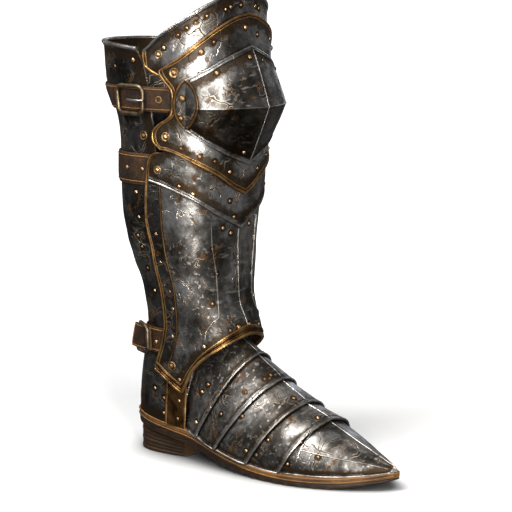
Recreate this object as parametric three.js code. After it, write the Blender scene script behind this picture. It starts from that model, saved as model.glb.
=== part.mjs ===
// Armoured boot: a greave closed round the lower leg, a knee cop with its lames
// above it, and a sabaton on a leather sole below it.
// Millimetres, +Z up. The toe points along -Y, the buckles are on the -X side.
// The origin is on the floor, under the middle of the leg.

import * as THREE from 'three';

// Named sizes
const legHeight = 505;
const kneeHalfWidth = 67;
const shinDepth = 66;
const calfDepth = 94;
const legCentreShift = 25;
const keelRise = 2.4;
const keelTurn = 16;

const footLength = 285;
const instepHeight = 138;
const ballHalfWidth = 50;
const heelBack = 46;
const soleHalfWidth = 56.5;
const heelHalfWidth = 33.5;
const heelHeight = 44;
const weltThick = 5;
const copPoint = 24.5;

const plate = 1.6;
const leather = 2.2;
const gap = 0.3;
const play = 0.8;
const strapRoom = 3.6;
const lameStep = 3.4;

// Each layer of the leg starts one clear step outside the layer below it
const layer = { calf: 0 };
layer.strap = layer.calf + plate + play;
layer.shell = layer.calf + plate + strapRoom;
layer.lowerLame = layer.shell + plate + play;
layer.kneePlate = layer.lowerLame + plate + play;
layer.cop = layer.kneePlate + plate + play;
layer.rondel = layer.cop + plate + play;

// Materials
function finish(name, color, roughness, metalness) {
  const material = new THREE.MeshStandardMaterial({ color, roughness, metalness });
  material.name = name;
  return material;
}
const steel = finish('steel', 0x6f6a66, 0.42, 0.9);
const darkSteel = finish('dark_steel', 0x4a4643, 0.5, 0.9);
const brass = finish('brass', 0xa9803f, 0.4, 0.9);
const strapLeather = finish('strap_leather', 0x5d3a22, 0.7, 0);
const soleLeather = finish('sole_leather', 0x6b4429, 0.75, 0);

// Smooth value of one column of a table, read along another column
function along(table, key, column, at) {
  const last = table.length - 1;
  const rising = table[last][key] > table[0][key];
  const rows = rising ? table : [...table].reverse();
  if (at <= rows[0][key]) return rows[0][column];
  if (at >= rows[last][key]) return rows[last][column];
  let i = 0;
  while (rows[i + 1][key] < at) i += 1;
  const slope = (k) => {
    const a = rows[Math.max(k - 1, 0)];
    const b = rows[Math.min(k + 1, last)];
    return (b[column] - a[column]) / (b[key] - a[key]);
  };
  const p = rows[i];
  const q = rows[i + 1];
  const span = q[key] - p[key];
  const t = (at - p[key]) / span;
  const t2 = t * t;
  const t3 = t2 * t;
  return (2 * t3 - 3 * t2 + 1) * p[column] + (t3 - 2 * t2 + t) * span * slope(i)
    + (3 * t2 - 2 * t3) * q[column] + (t3 - t2) * span * slope(i + 1);
}

const mix = (a, b, t) => a + (b - a) * t;
const radians = (degrees) => degrees * Math.PI / 180;

// Leg sections, from the knee to the heel. Every column is a share of a named size:
// up of legHeight, mid of legCentreShift, side of kneeHalfWidth, front of shinDepth
// and back of calfDepth.
const legSections = [
  { up: 1.000, mid: 0.60, side: 1.045, front: 1.000, back: 1.000 },
  { up: 0.871, mid: 0.60, side: 1.000, front: 1.008, back: 0.979 },
  { up: 0.792, mid: 0.60, side: 1.000, front: 1.000, back: 0.960 },
  { up: 0.725, mid: 0.60, side: 0.993, front: 0.985, back: 0.780 },
  { up: 0.671, mid: 0.60, side: 0.993, front: 0.962, back: 0.718 },
  { up: 0.618, mid: 0.60, side: 0.993, front: 0.947, back: 0.713 },
  { up: 0.572, mid: 0.60, side: 0.978, front: 0.924, back: 0.718 },
  { up: 0.511, mid: 0.60, side: 0.933, front: 0.871, back: 0.713 },
  { up: 0.467, mid: 0.60, side: 0.896, front: 0.848, back: 0.660 },
  { up: 0.418, mid: 0.62, side: 0.858, front: 0.841, back: 0.561 },
  { up: 0.376, mid: 0.70, side: 0.791, front: 0.818, back: 0.485 },
  { up: 0.337, mid: 0.80, side: 0.739, front: 0.811, back: 0.484 },
  { up: 0.303, mid: 0.92, side: 0.694, front: 0.879, back: 0.510 },
  { up: 0.277, mid: 1.00, side: 0.664, front: 0.939, back: 0.540 },
  { up: 0.238, mid: 1.00, side: 0.642, front: 0.970, back: 0.596 },
  { up: 0.198, mid: 0.96, side: 0.627, front: 0.909, back: 0.638 },
  { up: 0.139, mid: 0.88, side: 0.604, front: 0.909, back: 0.672 },
  { up: 0.070, mid: 0.80, side: 0.597, front: 0.909, back: 0.670 },
];

// A point on the leg: turn is the angle in degrees from the keel at the front,
// negative toward the buckle side, and out is the distance outside the leg
function legPoint(turn, z, out) {
  const read = (column) => along(legSections, 'up', column, z / legHeight);
  const angle = radians(turn);
  const forward = Math.cos(angle) > 0;
  const depth = forward ? read('front') * shinDepth : read('back') * calfDepth;
  const power = forward ? 3 : 2.5;
  const across = Math.abs(Math.sin(angle)) / (read('side') * kneeHalfWidth);
  const deep = Math.abs(Math.cos(angle)) / depth;
  const keel = keelRise * Math.max(0, 1 - Math.abs(turn) / keelTurn);
  const reach = (across ** power + deep ** power) ** (-1 / power) + keel + out;
  return [
    Math.sin(angle) * reach,
    -read('mid') * legCentreShift - Math.cos(angle) * reach,
    z,
  ];
}

// Foot sections, from the instep to the tip. ridgeBack and baseBack are shares of
// footLength along -Y, ridgeUp is a share of instepHeight. The half width adds a share
// of kneeHalfWidth, which the ankle follows, to a share of ballHalfWidth.
const footSections = [
  { at: 0, ridgeBack: 0.200, ridgeUp: 1.060, baseBack: 0.108, knee: 0.50, ball: 0.03 },
  { at: 1, ridgeBack: 0.382, ridgeUp: 0.804, baseBack: 0.208, knee: 0.35, ball: 0.381 },
  { at: 2, ridgeBack: 0.491, ridgeUp: 0.641, baseBack: 0.312, knee: 0.15, ball: 0.764 },
  { at: 3, ridgeBack: 0.604, ridgeUp: 0.496, baseBack: 0.468, knee: 0, ball: 1.03 },
  { at: 4, ridgeBack: 0.709, ridgeUp: 0.394, baseBack: 0.611, knee: 0, ball: 0.99 },
  { at: 5, ridgeBack: 0.807, ridgeUp: 0.304, baseBack: 0.757, knee: 0, ball: 0.78 },
  { at: 6, ridgeBack: 0.905, ridgeUp: 0.217, baseBack: 0.884, knee: 0, ball: 0.42 },
  { at: 7, ridgeBack: 0.982, ridgeUp: 0.152, baseBack: 0.982, knee: 0, ball: 0.08 },
];

// Sole along the foot: back is the distance toward the toe as a share of footLength
// (negative behind the leg), half a share of soleHalfWidth, low and high the lower
// and upper face as shares of heelHeight.
const soleSections = [
  { back: -0.161, half: 0.05, low: 0.68, high: 1.00 },
  { back: -0.156, half: 0.22, low: 0.68, high: 1.00 },
  { back: -0.135, half: 0.41, low: 0.66, high: 0.99 },
  { back: -0.098, half: 0.55, low: 0.63, high: 0.97 },
  { back: -0.035, half: 0.67, low: 0.57, high: 0.91 },
  { back: 0.077, half: 0.73, low: 0.48, high: 0.81 },
  { back: 0.158, half: 0.74, low: 0.40, high: 0.74 },
  { back: 0.232, half: 0.77, low: 0.28, high: 0.62 },
  { back: 0.330, half: 0.86, low: 0.14, high: 0.46 },
  { back: 0.475, half: 0.97, low: 0.03, high: 0.30 },
  { back: 0.596, half: 1.00, low: 0.00, high: 0.24 },
  { back: 0.684, half: 0.95, low: 0.00, high: 0.235 },
  { back: 0.760, half: 0.83, low: 0.00, high: 0.24 },
  { back: 0.842, half: 0.64, low: 0.035, high: 0.27 },
  { back: 0.919, half: 0.39, low: 0.12, high: 0.33 },
  { back: 0.975, half: 0.16, low: 0.21, high: 0.39 },
  { back: 1.000, half: 0.04, low: 0.26, high: 0.42 },
];
const soleRead = (column, y) => along(soleSections, 'back', column, -y / footLength);
const soleTop = (y) => soleRead('high', y) * heelHeight;
const soleLow = (y) => Math.max(0, soleRead('low', y)) * heelHeight;
const soleHalf = (y) => soleRead('half', y) * soleHalfWidth;

// A point on the foot: at runs along the sections, turn from the ridge (0) down to
// the sole (-90 on the buckle side, 90 on the other)
function footPoint(at, turn, out) {
  const read = (column) => along(footSections, 'at', column, at);
  const angle = radians(turn);
  const power = 0.86;
  const fall = Math.cos(angle) ** power;
  const side = Math.abs(Math.sin(angle)) ** power * Math.sign(turn);
  const ridgeY = -read('ridgeBack') * footLength;
  const baseY = -read('baseBack') * footLength;
  const baseZ = soleTop(baseY) + gap;
  const ridgeZ = read('ridgeUp') * instepHeight + out;
  const crease = keelRise * Math.max(0, 1 - Math.abs(turn) / keelTurn);
  const half = read('knee') * kneeHalfWidth + read('ball') * ballHalfWidth;
  return [
    side * (half + out),
    mix(baseY, ridgeY, fall),
    mix(baseZ, ridgeZ, fall) + crease * 0.8,
  ];
}

// A closed solid from triangles, turned so that its faces look outward
function solid(triangles) {
  let volume = 0;
  for (const [a, b, c] of triangles) {
    volume += a[0] * (b[1] * c[2] - b[2] * c[1])
      + a[1] * (b[2] * c[0] - b[0] * c[2])
      + a[2] * (b[0] * c[1] - b[1] * c[0]);
  }
  const facing = volume > 0 ? triangles : triangles.map(([a, b, c]) => [a, c, b]);
  const geometry = new THREE.BufferGeometry();
  geometry.setAttribute('position', new THREE.Float32BufferAttribute(facing.flat(2), 3));
  geometry.computeVertexNormals();
  return geometry;
}

// A sheet over a grid of cells. place(u, v, side) gives the point on the inner face
// (side 0) and on the outer face (side 1); filled(i, j) leaves cells out as windows.
function sheet(across, up, place, filled = () => true) {
  const grid = [0, 1].map((side) => {
    const rows = [];
    for (let j = 0; j <= up; j += 1) {
      rows.push([]);
      for (let i = 0; i <= across; i += 1) rows[j].push(place(i / across, j / up, side));
    }
    return rows;
  });
  const has = (i, j) => i >= 0 && j >= 0 && i < across && j < up && filled(i, j);
  const triangles = [];
  const quad = (a, b, c, d) => triangles.push([a, b, c], [a, c, d]);
  for (let j = 0; j < up; j += 1) {
    for (let i = 0; i < across; i += 1) {
      if (!has(i, j)) continue;
      const [inner, outer] = grid.map((rows) => [
        rows[j][i], rows[j][i + 1], rows[j + 1][i + 1], rows[j + 1][i],
      ]);
      quad(...outer);
      quad(...[...inner].reverse());
      const beside = [[i, j - 1], [i + 1, j], [i, j + 1], [i - 1, j]];
      beside.forEach(([m, n], k) => {
        const next = (k + 1) % 4;
        if (!has(m, n)) quad(inner[k], inner[next], outer[next], outer[k]);
      });
    }
  }
  return solid(triangles);
}

const boot = new THREE.Group();

function add(name, geometry, material) {
  const mesh = new THREE.Mesh(geometry, material);
  mesh.name = name;
  boot.add(mesh);
}

// A plate on the leg: its edges are tables of up (share of legHeight) against turn,
// its rear edge is a turn for every height
function legPlate({ across, up, low, high, rear, out, thick = plate, window }) {
  const edge = (table, turn) => along(table, 'turn', 'up', turn) * legHeight;
  return sheet(across, up, (u, v, side) => {
    const share = 2 * u - 1;
    const reach = low[low.length - 1].turn;
    const z = mix(edge(low, Math.abs(share) * reach), edge(high, Math.abs(share) * reach), v);
    const turn = share * along(rear, 'up', 'turn', z / legHeight);
    return legPoint(turn, z, out + side * thick);
  }, window);
}

// Front shell of the greave: flared over the instep, a lobe over each ankle
const shellRear = [
  { up: 0.150, turn: 108 },
  { up: 0.189, turn: 111 },
  { up: 0.198, turn: 110 },
  { up: 0.262, turn: 97 },
  { up: 0.317, turn: 88 },
  { up: 0.376, turn: 85 },
  { up: 0.445, turn: 87 },
  { up: 0.512, turn: 91.5 },
  { up: 0.586, turn: 89 },
  { up: 0.605, turn: 88 },
  { up: 0.636, turn: 86 },
  { up: 0.660, turn: 84 },
];
const shellLow = [
  { turn: 0, up: 0.274 },
  { turn: 13, up: 0.269 },
  { turn: 33, up: 0.252 },
  { turn: 52, up: 0.215 },
  { turn: 63, up: 0.172 },
  { turn: 70, up: 0.150 },
  { turn: 74, up: 0.151 },
  { turn: 90, up: 0.168 },
  { turn: 111, up: 0.190 },
];
const shellHigh = [
  { turn: 0, up: 0.575 },
  { turn: 40, up: 0.600 },
  { turn: 70, up: 0.640 },
  { turn: 90, up: 0.652 },
  { turn: 102, up: 0.653 },
  { turn: 108, up: 0.647 },
  { turn: 111, up: 0.634 },
];
add('front_shell', legPlate({
  across: 28, up: 11, low: shellLow, high: shellHigh, rear: shellRear, out: layer.shell,
}), steel);

// Calf shell: closes the back of the leg, open toward the front
const calfFront = [
  { up: 0.245, turn: 80 },
  { up: 0.600, turn: 80 },
  { up: 0.700, turn: 83 },
  { up: 0.724, turn: 85 },
  { up: 0.801, turn: 90 },
  { up: 0.837, turn: 94 },
  { up: 0.862, turn: 100 },
];
const calfLow = 0.248 * legHeight;
const calfHigh = 0.864 * legHeight;
const rimLift = 6;
add('calf_shell', sheet(24, 18, (u, v, side) => {
  const share = 2 * u - 1;
  const flare = Math.max(0, v - 0.9) * 10;
  const z = mix(calfLow, calfHigh + rimLift * Math.cos(radians(90 * share)), v);
  const front = along(calfFront, 'up', 'turn', z / legHeight);
  return legPoint(180 + share * (180 - front), z, layer.calf + side * plate + 2 * flare);
}), darkSteel);

// Lower lame, over the top of the front shell
const lowerLameRear = [
  { up: 0.540, turn: 80 },
  { up: 0.596, turn: 84 },
  { up: 0.620, turn: 84.5 },
  { up: 0.640, turn: 82 },
  { up: 0.655, turn: 76 },
  { up: 0.690, turn: 66 },
];
const lowerLameLow = [
  { turn: 0, up: 0.496 },
  { turn: 13, up: 0.510 },
  { turn: 31, up: 0.531 },
  { turn: 53, up: 0.567 },
  { turn: 73, up: 0.590 },
  { turn: 84, up: 0.597 },
];
const lowerLameHigh = [
  { turn: 0, up: 0.594 },
  { turn: 38, up: 0.638 },
  { turn: 62, up: 0.670 },
  { turn: 74, up: 0.668 },
  { turn: 84, up: 0.650 },
];
add('lower_lame', legPlate({
  across: 26, up: 3, low: lowerLameLow, high: lowerLameHigh, rear: lowerLameRear,
  out: layer.lowerLame,
}), steel);

// Knee plate: the frame under the knee cop, with a window behind the cop
const kneeRear = [
  { up: 0.560, turn: 60 },
  { up: 0.640, turn: 66 },
  { up: 0.662, turn: 72 },
  { up: 0.677, turn: 78 },
  { up: 0.696, turn: 79 },
  { up: 0.710, turn: 75 },
  { up: 0.726, turn: 66 },
  { up: 0.742, turn: 63 },
  { up: 0.782, turn: 63 },
  { up: 0.804, turn: 69 },
  { up: 0.820, turn: 72.5 },
  { up: 0.836, turn: 69 },
  { up: 0.930, turn: 69 },
];
const kneeLow = [
  { turn: 0, up: 0.567 },
  { turn: 15, up: 0.582 },
  { turn: 34, up: 0.611 },
  { turn: 53, up: 0.639 },
  { turn: 64, up: 0.659 },
  { turn: 72, up: 0.664 },
];
const kneeHigh = [
  { turn: 0, up: 0.935 },
  { turn: 15, up: 0.927 },
  { turn: 31, up: 0.908 },
  { turn: 46, up: 0.880 },
  { turn: 59, up: 0.851 },
  { turn: 67, up: 0.836 },
  { turn: 72, up: 0.822 },
];
add('knee_plate', legPlate({
  across: 24, up: 12, low: kneeLow, high: kneeHigh, rear: kneeRear, out: layer.kneePlate,
  window: (i, j) => !(i > 5 && i < 18 && j > 3 && j < 8),
}), steel);

// Upper lame: swings on the two pivots at the corners of the knee plate
const upperLameRear = [
  { up: 0.790, turn: 76 },
  { up: 0.806, turn: 80 },
  { up: 0.815, turn: 84 },
  { up: 0.825, turn: 87 },
  { up: 0.840, turn: 89.5 },
  { up: 0.858, turn: 90 },
  { up: 0.875, turn: 87 },
  { up: 1.000, turn: 86 },
];
const upperLameLow = [
  { turn: 0, up: 0.842 },
  { turn: 40, up: 0.826 },
  { turn: 56, up: 0.802 },
  { turn: 72, up: 0.805 },
  { turn: 80, up: 0.811 },
  { turn: 86, up: 0.820 },
  { turn: 90, up: 0.830 },
];
const upperLameHigh = [
  { turn: 0, up: 1.000 },
  { turn: 15, up: 0.985 },
  { turn: 29, up: 0.966 },
  { turn: 43, up: 0.949 },
  { turn: 61, up: 0.918 },
  { turn: 73, up: 0.898 },
  { turn: 83, up: 0.879 },
  { turn: 90, up: 0.860 },
];
add('upper_lame', legPlate({
  across: 26, up: 5, low: upperLameLow, high: upperLameHigh, rear: upperLameRear,
  out: layer.shell,
}), steel);

// Knee cop: four rounded facets that meet in a point over the knee. copRound is the
// share of the bulge that stays until near its two ends.
const copRound = 0.75;
const copEndTurn = 53;
const copCrease = 0.748 * legHeight;
const copLow = [
  { turn: 0, up: 0.630 },
  { turn: 20, up: 0.650 },
  { turn: 28, up: 0.661 },
  { turn: 40, up: 0.679 },
  { turn: 53, up: 0.705 },
];
const copHigh = [
  { turn: 0, up: 0.869 },
  { turn: 24, up: 0.846 },
  { turn: 39, up: 0.824 },
  { turn: 53, up: 0.804 },
];
const copEdge = (table, turn) => along(table, 'turn', 'up', Math.abs(turn)) * legHeight;
function copBulge(turn, z) {
  const edge = copEdge(z < copCrease ? copLow : copHigh, turn);
  const height = Math.max(0, 1 - Math.abs((z - copCrease) / (edge - copCrease)));
  const share = Math.min(1, Math.abs(turn) / copEndTurn);
  const width = 1 - (1 - copRound) * share - copRound * share ** 3;
  return copPoint * height ** 0.85 * width;
}
add('knee_cop', sheet(16, 8, (u, v, side) => {
  const turn = (2 * u - 1) * copEndTurn;
  const edge = copEdge(v < 0.5 ? copLow : copHigh, turn);
  const z = mix(copCrease, edge, Math.abs(2 * v - 1));
  return legPoint(turn, z, layer.cop + side * plate + copBulge(turn, z));
}), steel);

// Side plates: pointed ovals over the two ends of the cop
const rondelLow = 0.709 * legHeight;
const rondelHigh = 0.803 * legHeight;
const rondelShare = 0.142;
function rondel(hand) {
  return sheet(4, 6, (u, v, side) => {
    const half = rondelShare * copEndTurn * (0.12 + 0.88 * Math.sin(Math.PI * v) ** 0.7);
    const turn = hand * copEndTurn + (2 * u - 1) * half;
    const z = mix(rondelLow, rondelHigh, v);
    return legPoint(turn, z, layer.rondel + side * plate + copBulge(turn, z));
  });
}
add('side_plate_outer', rondel(-1), darkSteel);
add('side_plate_inner', rondel(1), darkSteel);

// Straps round the back of the leg: their ends pass under the plates
function strap(lowUp, highUp, endTurn, out) {
  return sheet(24, 3, (u, v, side) => {
    const turn = mix(endTurn, 360 - endTurn, u);
    return legPoint(turn, mix(lowUp, highUp, v) * legHeight, out + side * leather);
  });
}
add('upper_strap', strap(0.737, 0.788, 59, layer.strap), strapLeather);
add('middle_strap', strap(0.585, 0.650, 78, layer.strap), strapLeather);
add('ankle_strap', strap(0.224, 0.279, 80, layer.strap), strapLeather);

// Buckle of the upper strap: a frame round the strap face and its tongue
const buckleLow = 0.727 * legHeight;
const buckleHigh = 0.792 * legHeight;
const buckleFront = 90;
const buckleBack = 121;
const buckleSeat = layer.strap + leather + gap;
const frameThick = 3;
add('upper_buckle', sheet(6, 6, (u, v, side) => {
  const turn = -mix(buckleFront, buckleBack, u);
  return legPoint(turn, mix(buckleLow, buckleHigh, v), buckleSeat + side * frameThick);
}, (i, j) => i === 0 || i === 5 || j === 0 || j === 5), brass);
add('upper_tongue', sheet(4, 1, (u, v, side) => {
  const turn = -mix(buckleFront - 3, buckleBack - 2, u);
  const middle = (buckleLow + buckleHigh) / 2;
  return legPoint(turn, middle + (v - 0.5) * 4, buckleSeat + frameThick + gap + side * 2);
}), brass);

// Ankle strap end with its small buckle, standing proud behind the ankle
add('ankle_buckle', sheet(4, 4, (u, v, side) => {
  const turn = -mix(118, 146, u);
  return legPoint(turn, mix(0.222, 0.282, v) * legHeight, buckleSeat + side * frameThick);
}, (i, j) => i === 0 || i === 3 || j === 0 || j === 3), darkSteel);

// Sabaton: four lames and a toe cap, each one over the lame in front of it
const lameLap = 0.3;
function footLame(from, to, stations) {
  return sheet(16, stations, (u, v, side) => {
    const at = mix(from, to, v);
    const rise = lameStep * Math.min(1, at - from);
    return footPoint(at, (2 * u - 1) * 90, side * plate + rise);
  });
}
add('instep_lame', footLame(0, 1, 2), steel);
add('foot_lame_1', footLame(1 - lameLap, 2, 2), steel);
add('foot_lame_2', footLame(2 - lameLap, 3, 2), steel);
add('foot_lame_3', footLame(3 - lameLap, 4, 2), steel);
add('toe_cap', sheet(16, 8, (u, v, side) => (
  footPoint(mix(4 - lameLap, 7, v), (2 * u - 1) * 90, side * plate)
)), steel);

// Heel counter: one plate round the heel, from the sole up to the ankle strap
const counterFront = 86;
add('heel_counter', sheet(20, 4, (u, v, side) => {
  const turn = mix(counterFront, 360 - counterFront, u);
  const seat = legPoint(turn, 0.08 * legHeight, 0)[1];
  const z = mix(soleTop(seat) + gap, 0.24 * legHeight, v);
  return legPoint(turn, z, layer.calf + side * plate);
}), darkSteel);

// Ankle bands: cover the joint between the heel counter and the instep lame
function ankleBand(hand) {
  return sheet(4, 3, (u, v, side) => {
    const turn = hand * mix(63, 98, u);
    const seat = legPoint(turn, 0.08 * legHeight, 4)[1];
    const z = mix(soleTop(seat) + gap, 0.175 * legHeight, v);
    return legPoint(turn, z, plate + gap + side * plate);
  });
}
add('ankle_band_outer', ankleBand(-1), brass);
add('ankle_band_inner', ankleBand(1), brass);

// Sole: a welt on an outsole, and a stacked heel under the back
function soleSlab(low, high, grow) {
  return sheet(4, 26, (u, v, side) => {
    const y = mix(heelBack, -footLength, v);
    return [(2 * u - 1) * (soleHalf(y) + grow), y, side ? high(y) : low(y)];
  });
}
add('welt', soleSlab((y) => soleTop(y) - weltThick, soleTop, 0.8), soleLeather);
add('outsole', soleSlab(soleLow, (y) => soleTop(y) - weltThick - gap, 0), soleLeather);

const heelFront = -32;
const heelSections = [
  { back: 0.00, half: 0.10 },
  { back: 0.04, half: 0.42 },
  { back: 0.11, half: 0.68 },
  { back: 0.24, half: 0.88 },
  { back: 0.46, half: 1.00 },
  { back: 0.75, half: 1.00 },
  { back: 1.00, half: 0.94 },
];
add('heel_block', sheet(4, 14, (u, v, side) => {
  const y = mix(heelBack - 2.5, heelFront, v);
  const half = along(heelSections, 'back', 'half', v) * heelHalfWidth;
  return [(2 * u - 1) * half, y, side ? soleLow(y) - gap : 0];
}), soleLeather);

// Rivets: a domed head seated one gap above the plate it holds
function rivet(turn, z, out, radius, tall) {
  const middle = new THREE.Vector3(...legPoint(turn, z, out + gap));
  const beside = new THREE.Vector3(...legPoint(turn + 1, z, out + gap)).sub(middle);
  const above = new THREE.Vector3(...legPoint(turn, z + 2, out + gap)).sub(middle);
  const normal = new THREE.Vector3().crossVectors(beside, above).normalize();
  if (normal.dot(new THREE.Vector3(Math.sin(radians(turn)), -Math.cos(radians(turn)), 0)) < 0) {
    normal.negate();
  }
  const profile = [
    new THREE.Vector2(0, 0),
    new THREE.Vector2(radius, 0),
    new THREE.Vector2(radius * 0.94, tall * 0.45),
    new THREE.Vector2(radius * 0.6, tall * 0.85),
    new THREE.Vector2(0, tall),
  ];
  const head = new THREE.LatheGeometry(profile, 10);
  head.applyQuaternion(new THREE.Quaternion().setFromUnitVectors(
    new THREE.Vector3(0, 1, 0), normal));
  return head.translate(middle.x, middle.y, middle.z);
}
const pivotTurn = 61;
const pivotZ = 0.819 * legHeight;
const rivets = [
  { name: 'lame_pivot', turn: pivotTurn, up: 0.819, out: layer.kneePlate + plate, radius: 5 },
  { name: 'knee_lobe_rivet', turn: 68, up: 0.689, out: layer.kneePlate + plate, radius: 4.5 },
  { name: 'lower_lame_rivet', turn: 76, up: 0.620, out: layer.lowerLame + plate, radius: 4.5 },
  { name: 'ankle_rivet', turn: 84, up: 0.202, out: layer.shell + plate, radius: 5.5 },
  { name: 'side_plate_rivet', turn: 55, up: 0.768, out: layer.rondel + plate + gap, radius: 3 },
];
for (const [side, hand] of [['outer', -1], ['inner', 1]]) {
  for (const one of rivets) {
    add(`${one.name}_${side}`,
      rivet(hand * one.turn, one.up * legHeight, one.out, one.radius, one.radius * 0.5), brass);
  }
  add(`pivot_washer_${side}`,
    rivet(hand * pivotTurn, pivotZ, layer.shell + plate, 4, 2.3), darkSteel);
}

export default boot;
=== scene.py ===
# %% [markdown]
# # A knight's armoured boot
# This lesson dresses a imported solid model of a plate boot: a greave round the lower
# leg, a knee cop with its lames, and a sabaton on a leather sole. The solids say where
# every piece is. Here each one gets its fine surface, its rolled edges, its rivets and
# a finish worn by use.

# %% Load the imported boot
import math
import bmesh
import bpy
from mathutils import Matrix, Vector, noise
from mathutils.bvhtree import BVHTree
from mathutils.kdtree import KDTree


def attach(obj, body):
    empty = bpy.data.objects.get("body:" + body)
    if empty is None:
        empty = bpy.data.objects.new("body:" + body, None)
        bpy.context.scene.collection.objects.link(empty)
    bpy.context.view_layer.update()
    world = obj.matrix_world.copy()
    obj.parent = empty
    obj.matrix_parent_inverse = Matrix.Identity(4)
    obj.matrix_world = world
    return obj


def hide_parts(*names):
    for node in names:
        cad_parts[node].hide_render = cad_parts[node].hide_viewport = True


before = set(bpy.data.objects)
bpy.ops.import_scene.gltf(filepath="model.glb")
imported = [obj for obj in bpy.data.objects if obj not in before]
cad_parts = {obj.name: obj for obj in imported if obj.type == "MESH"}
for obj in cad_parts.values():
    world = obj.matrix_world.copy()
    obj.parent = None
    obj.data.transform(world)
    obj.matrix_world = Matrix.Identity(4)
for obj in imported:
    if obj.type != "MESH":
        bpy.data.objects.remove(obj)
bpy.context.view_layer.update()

# %% [markdown]
# ## The camera
# The picture was taken from the buckle side, a little above the ankle, with a long
# lens. A camera that looks straight at one point, from a known distance, is easy to
# read back: the same numbers later turn a place in the picture into a place on a plate.

# %% Point the camera
LENS = 138.0
DISTANCE = 2.05
AIM = Vector((0.0, -0.104, 0.221))
azimuth = math.radians(-52.1)
elevation = math.radians(9.0)
BACK = Vector((math.sin(azimuth) * math.cos(elevation),
               -math.cos(azimuth) * math.cos(elevation), math.sin(elevation)))
RIGHT = Vector((math.cos(azimuth), math.sin(azimuth), 0.0))
UP = BACK.cross(RIGHT)
EYE = AIM + BACK * DISTANCE
PIXELS = LENS / 36.0 * 512

camera_data = bpy.data.cameras.new("camera")
camera_data.lens = LENS
camera_data.sensor_width = 36.0
camera = bpy.data.objects.new("camera", camera_data)
camera.location = EYE
camera.rotation_euler = Matrix((RIGHT, UP, BACK)).transposed().to_euler()
bpy.context.scene.collection.objects.link(camera)
bpy.context.scene.camera = camera


def sight(across, down):
    """The direction from the camera through one place in the picture."""
    return (RIGHT * ((across - 256) / PIXELS) + UP * ((256 - down) / PIXELS) - BACK).normalized()


print("camera at", [round(value, 3) for value in EYE])

# %% [markdown]
# ## Smooth tables
# Plate work is described by a few sections. Between them the surface runs on one smooth
# curve, so a short table is enough for the whole leg. This reads a column of such a
# table at any height, with the slope of the neighbours on both sides.

# %% Read a smooth curve from a table
def along(table, at, column):
    rows = table if table[-1][0] > table[0][0] else table[::-1]
    if at <= rows[0][0]:
        return rows[0][column]
    if at >= rows[-1][0]:
        return rows[-1][column]
    i = 0
    while rows[i + 1][0] < at:
        i += 1

    def slope(k):
        a, b = rows[max(k - 1, 0)], rows[min(k + 1, len(rows) - 1)]
        return (b[column] - a[column]) / (b[0] - a[0])

    span = rows[i + 1][0] - rows[i][0]
    t = (at - rows[i][0]) / span
    return ((2 * t**3 - 3 * t**2 + 1) * rows[i][column] + (t**3 - 2 * t**2 + t) * span * slope(i)
            + (3 * t**2 - 2 * t**3) * rows[i + 1][column] + (t**3 - t**2) * span * slope(i + 1))


def mix(a, b, t):
    return a + (b - a) * t


print("half way up a slope:", along([(0, 0.0), (10, 5.0)], 5, 1))

# %% [markdown]
# ## The leg
# Every plate of the greave follows one leg, and stands a set distance outside it. The
# section of the leg is a softened box with a keel down the shin, as on a real greave,
# which keeps its strength in that keel. Slow dents from the hammer move the surface by
# a few tenths of a millimetre, and all layers share them, so no plate meets the next.

# %% The sections of the leg
LEG_HEIGHT = 505.0
PLATE = 1.6
PLAY = 0.8
GAP = 0.3
STRAP_ROOM = 3.6
LEATHER = 2.2
CALF = 0.0
STRAP = CALF + PLATE + PLAY
SHELL = CALF + PLATE + STRAP_ROOM
LOWER_LAME = SHELL + PLATE + PLAY
KNEE = LOWER_LAME + PLATE + PLAY
COP = KNEE + PLATE + PLAY
SIDE = COP + PLATE + PLAY

LEG = [  # height, centre forward, half width, depth in front, depth behind
    (505.0, 15.0, 70.0, 66.0, 94.0), (439.9, 15.0, 67.0, 66.5, 92.0),
    (400.0, 15.0, 67.0, 66.0, 90.2), (366.1, 15.0, 66.5, 65.0, 73.3),
    (338.9, 15.0, 66.5, 63.5, 67.5), (312.1, 15.0, 66.5, 62.5, 67.0),
    (288.9, 15.0, 65.5, 61.0, 67.5), (258.1, 15.0, 62.5, 57.5, 67.0),
    (235.8, 15.0, 60.0, 56.0, 62.0), (211.1, 15.5, 57.5, 55.5, 52.7),
    (189.9, 17.5, 53.0, 54.0, 45.6), (170.2, 20.0, 49.5, 53.5, 45.5),
    (153.0, 23.0, 46.5, 58.0, 47.9), (139.9, 25.0, 44.5, 62.0, 50.8),
    (120.2, 25.0, 43.0, 64.0, 56.0), (100.0, 24.0, 42.0, 60.0, 60.0),
    (70.2, 22.0, 40.5, 60.0, 63.2), (35.4, 20.0, 40.0, 60.0, 63.0),
]


HAMMER = 0.35
KEEL_RISE, KEEL_SPREAD = 2.4, 16
ROUND_FRONT, ROUND_REAR = 3.0, 2.5


def hammered(turn, height):
    side = abs(turn) if turn <= 180 else 360 - turn
    spot = Vector((side * 0.075, height * 0.062, 0.0 if turn < 0 or turn > 180 else 7.0))
    return HAMMER * (noise.noise(spot) + 0.5 * noise.noise(spot * 2.3))


def leg_point(turn, height, out):
    angle = math.radians(turn)
    centre, half, front, behind = (along(LEG, height, k) for k in (1, 2, 3, 4))
    ahead = math.cos(angle) > 0
    depth = front if ahead else behind
    power = ROUND_FRONT if ahead else ROUND_REAR
    reach = ((abs(math.sin(angle)) / half) ** power
             + (abs(math.cos(angle)) / depth) ** power) ** (-1 / power)
    reach += KEEL_RISE * max(0.0, 1 - abs(turn) / KEEL_SPREAD) + out + hammered(turn, height)
    return Vector((math.sin(angle) * reach, -centre - math.cos(angle) * reach, height))


print("leg half width at the calf", along(LEG, 300, 2), "mm")

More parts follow.
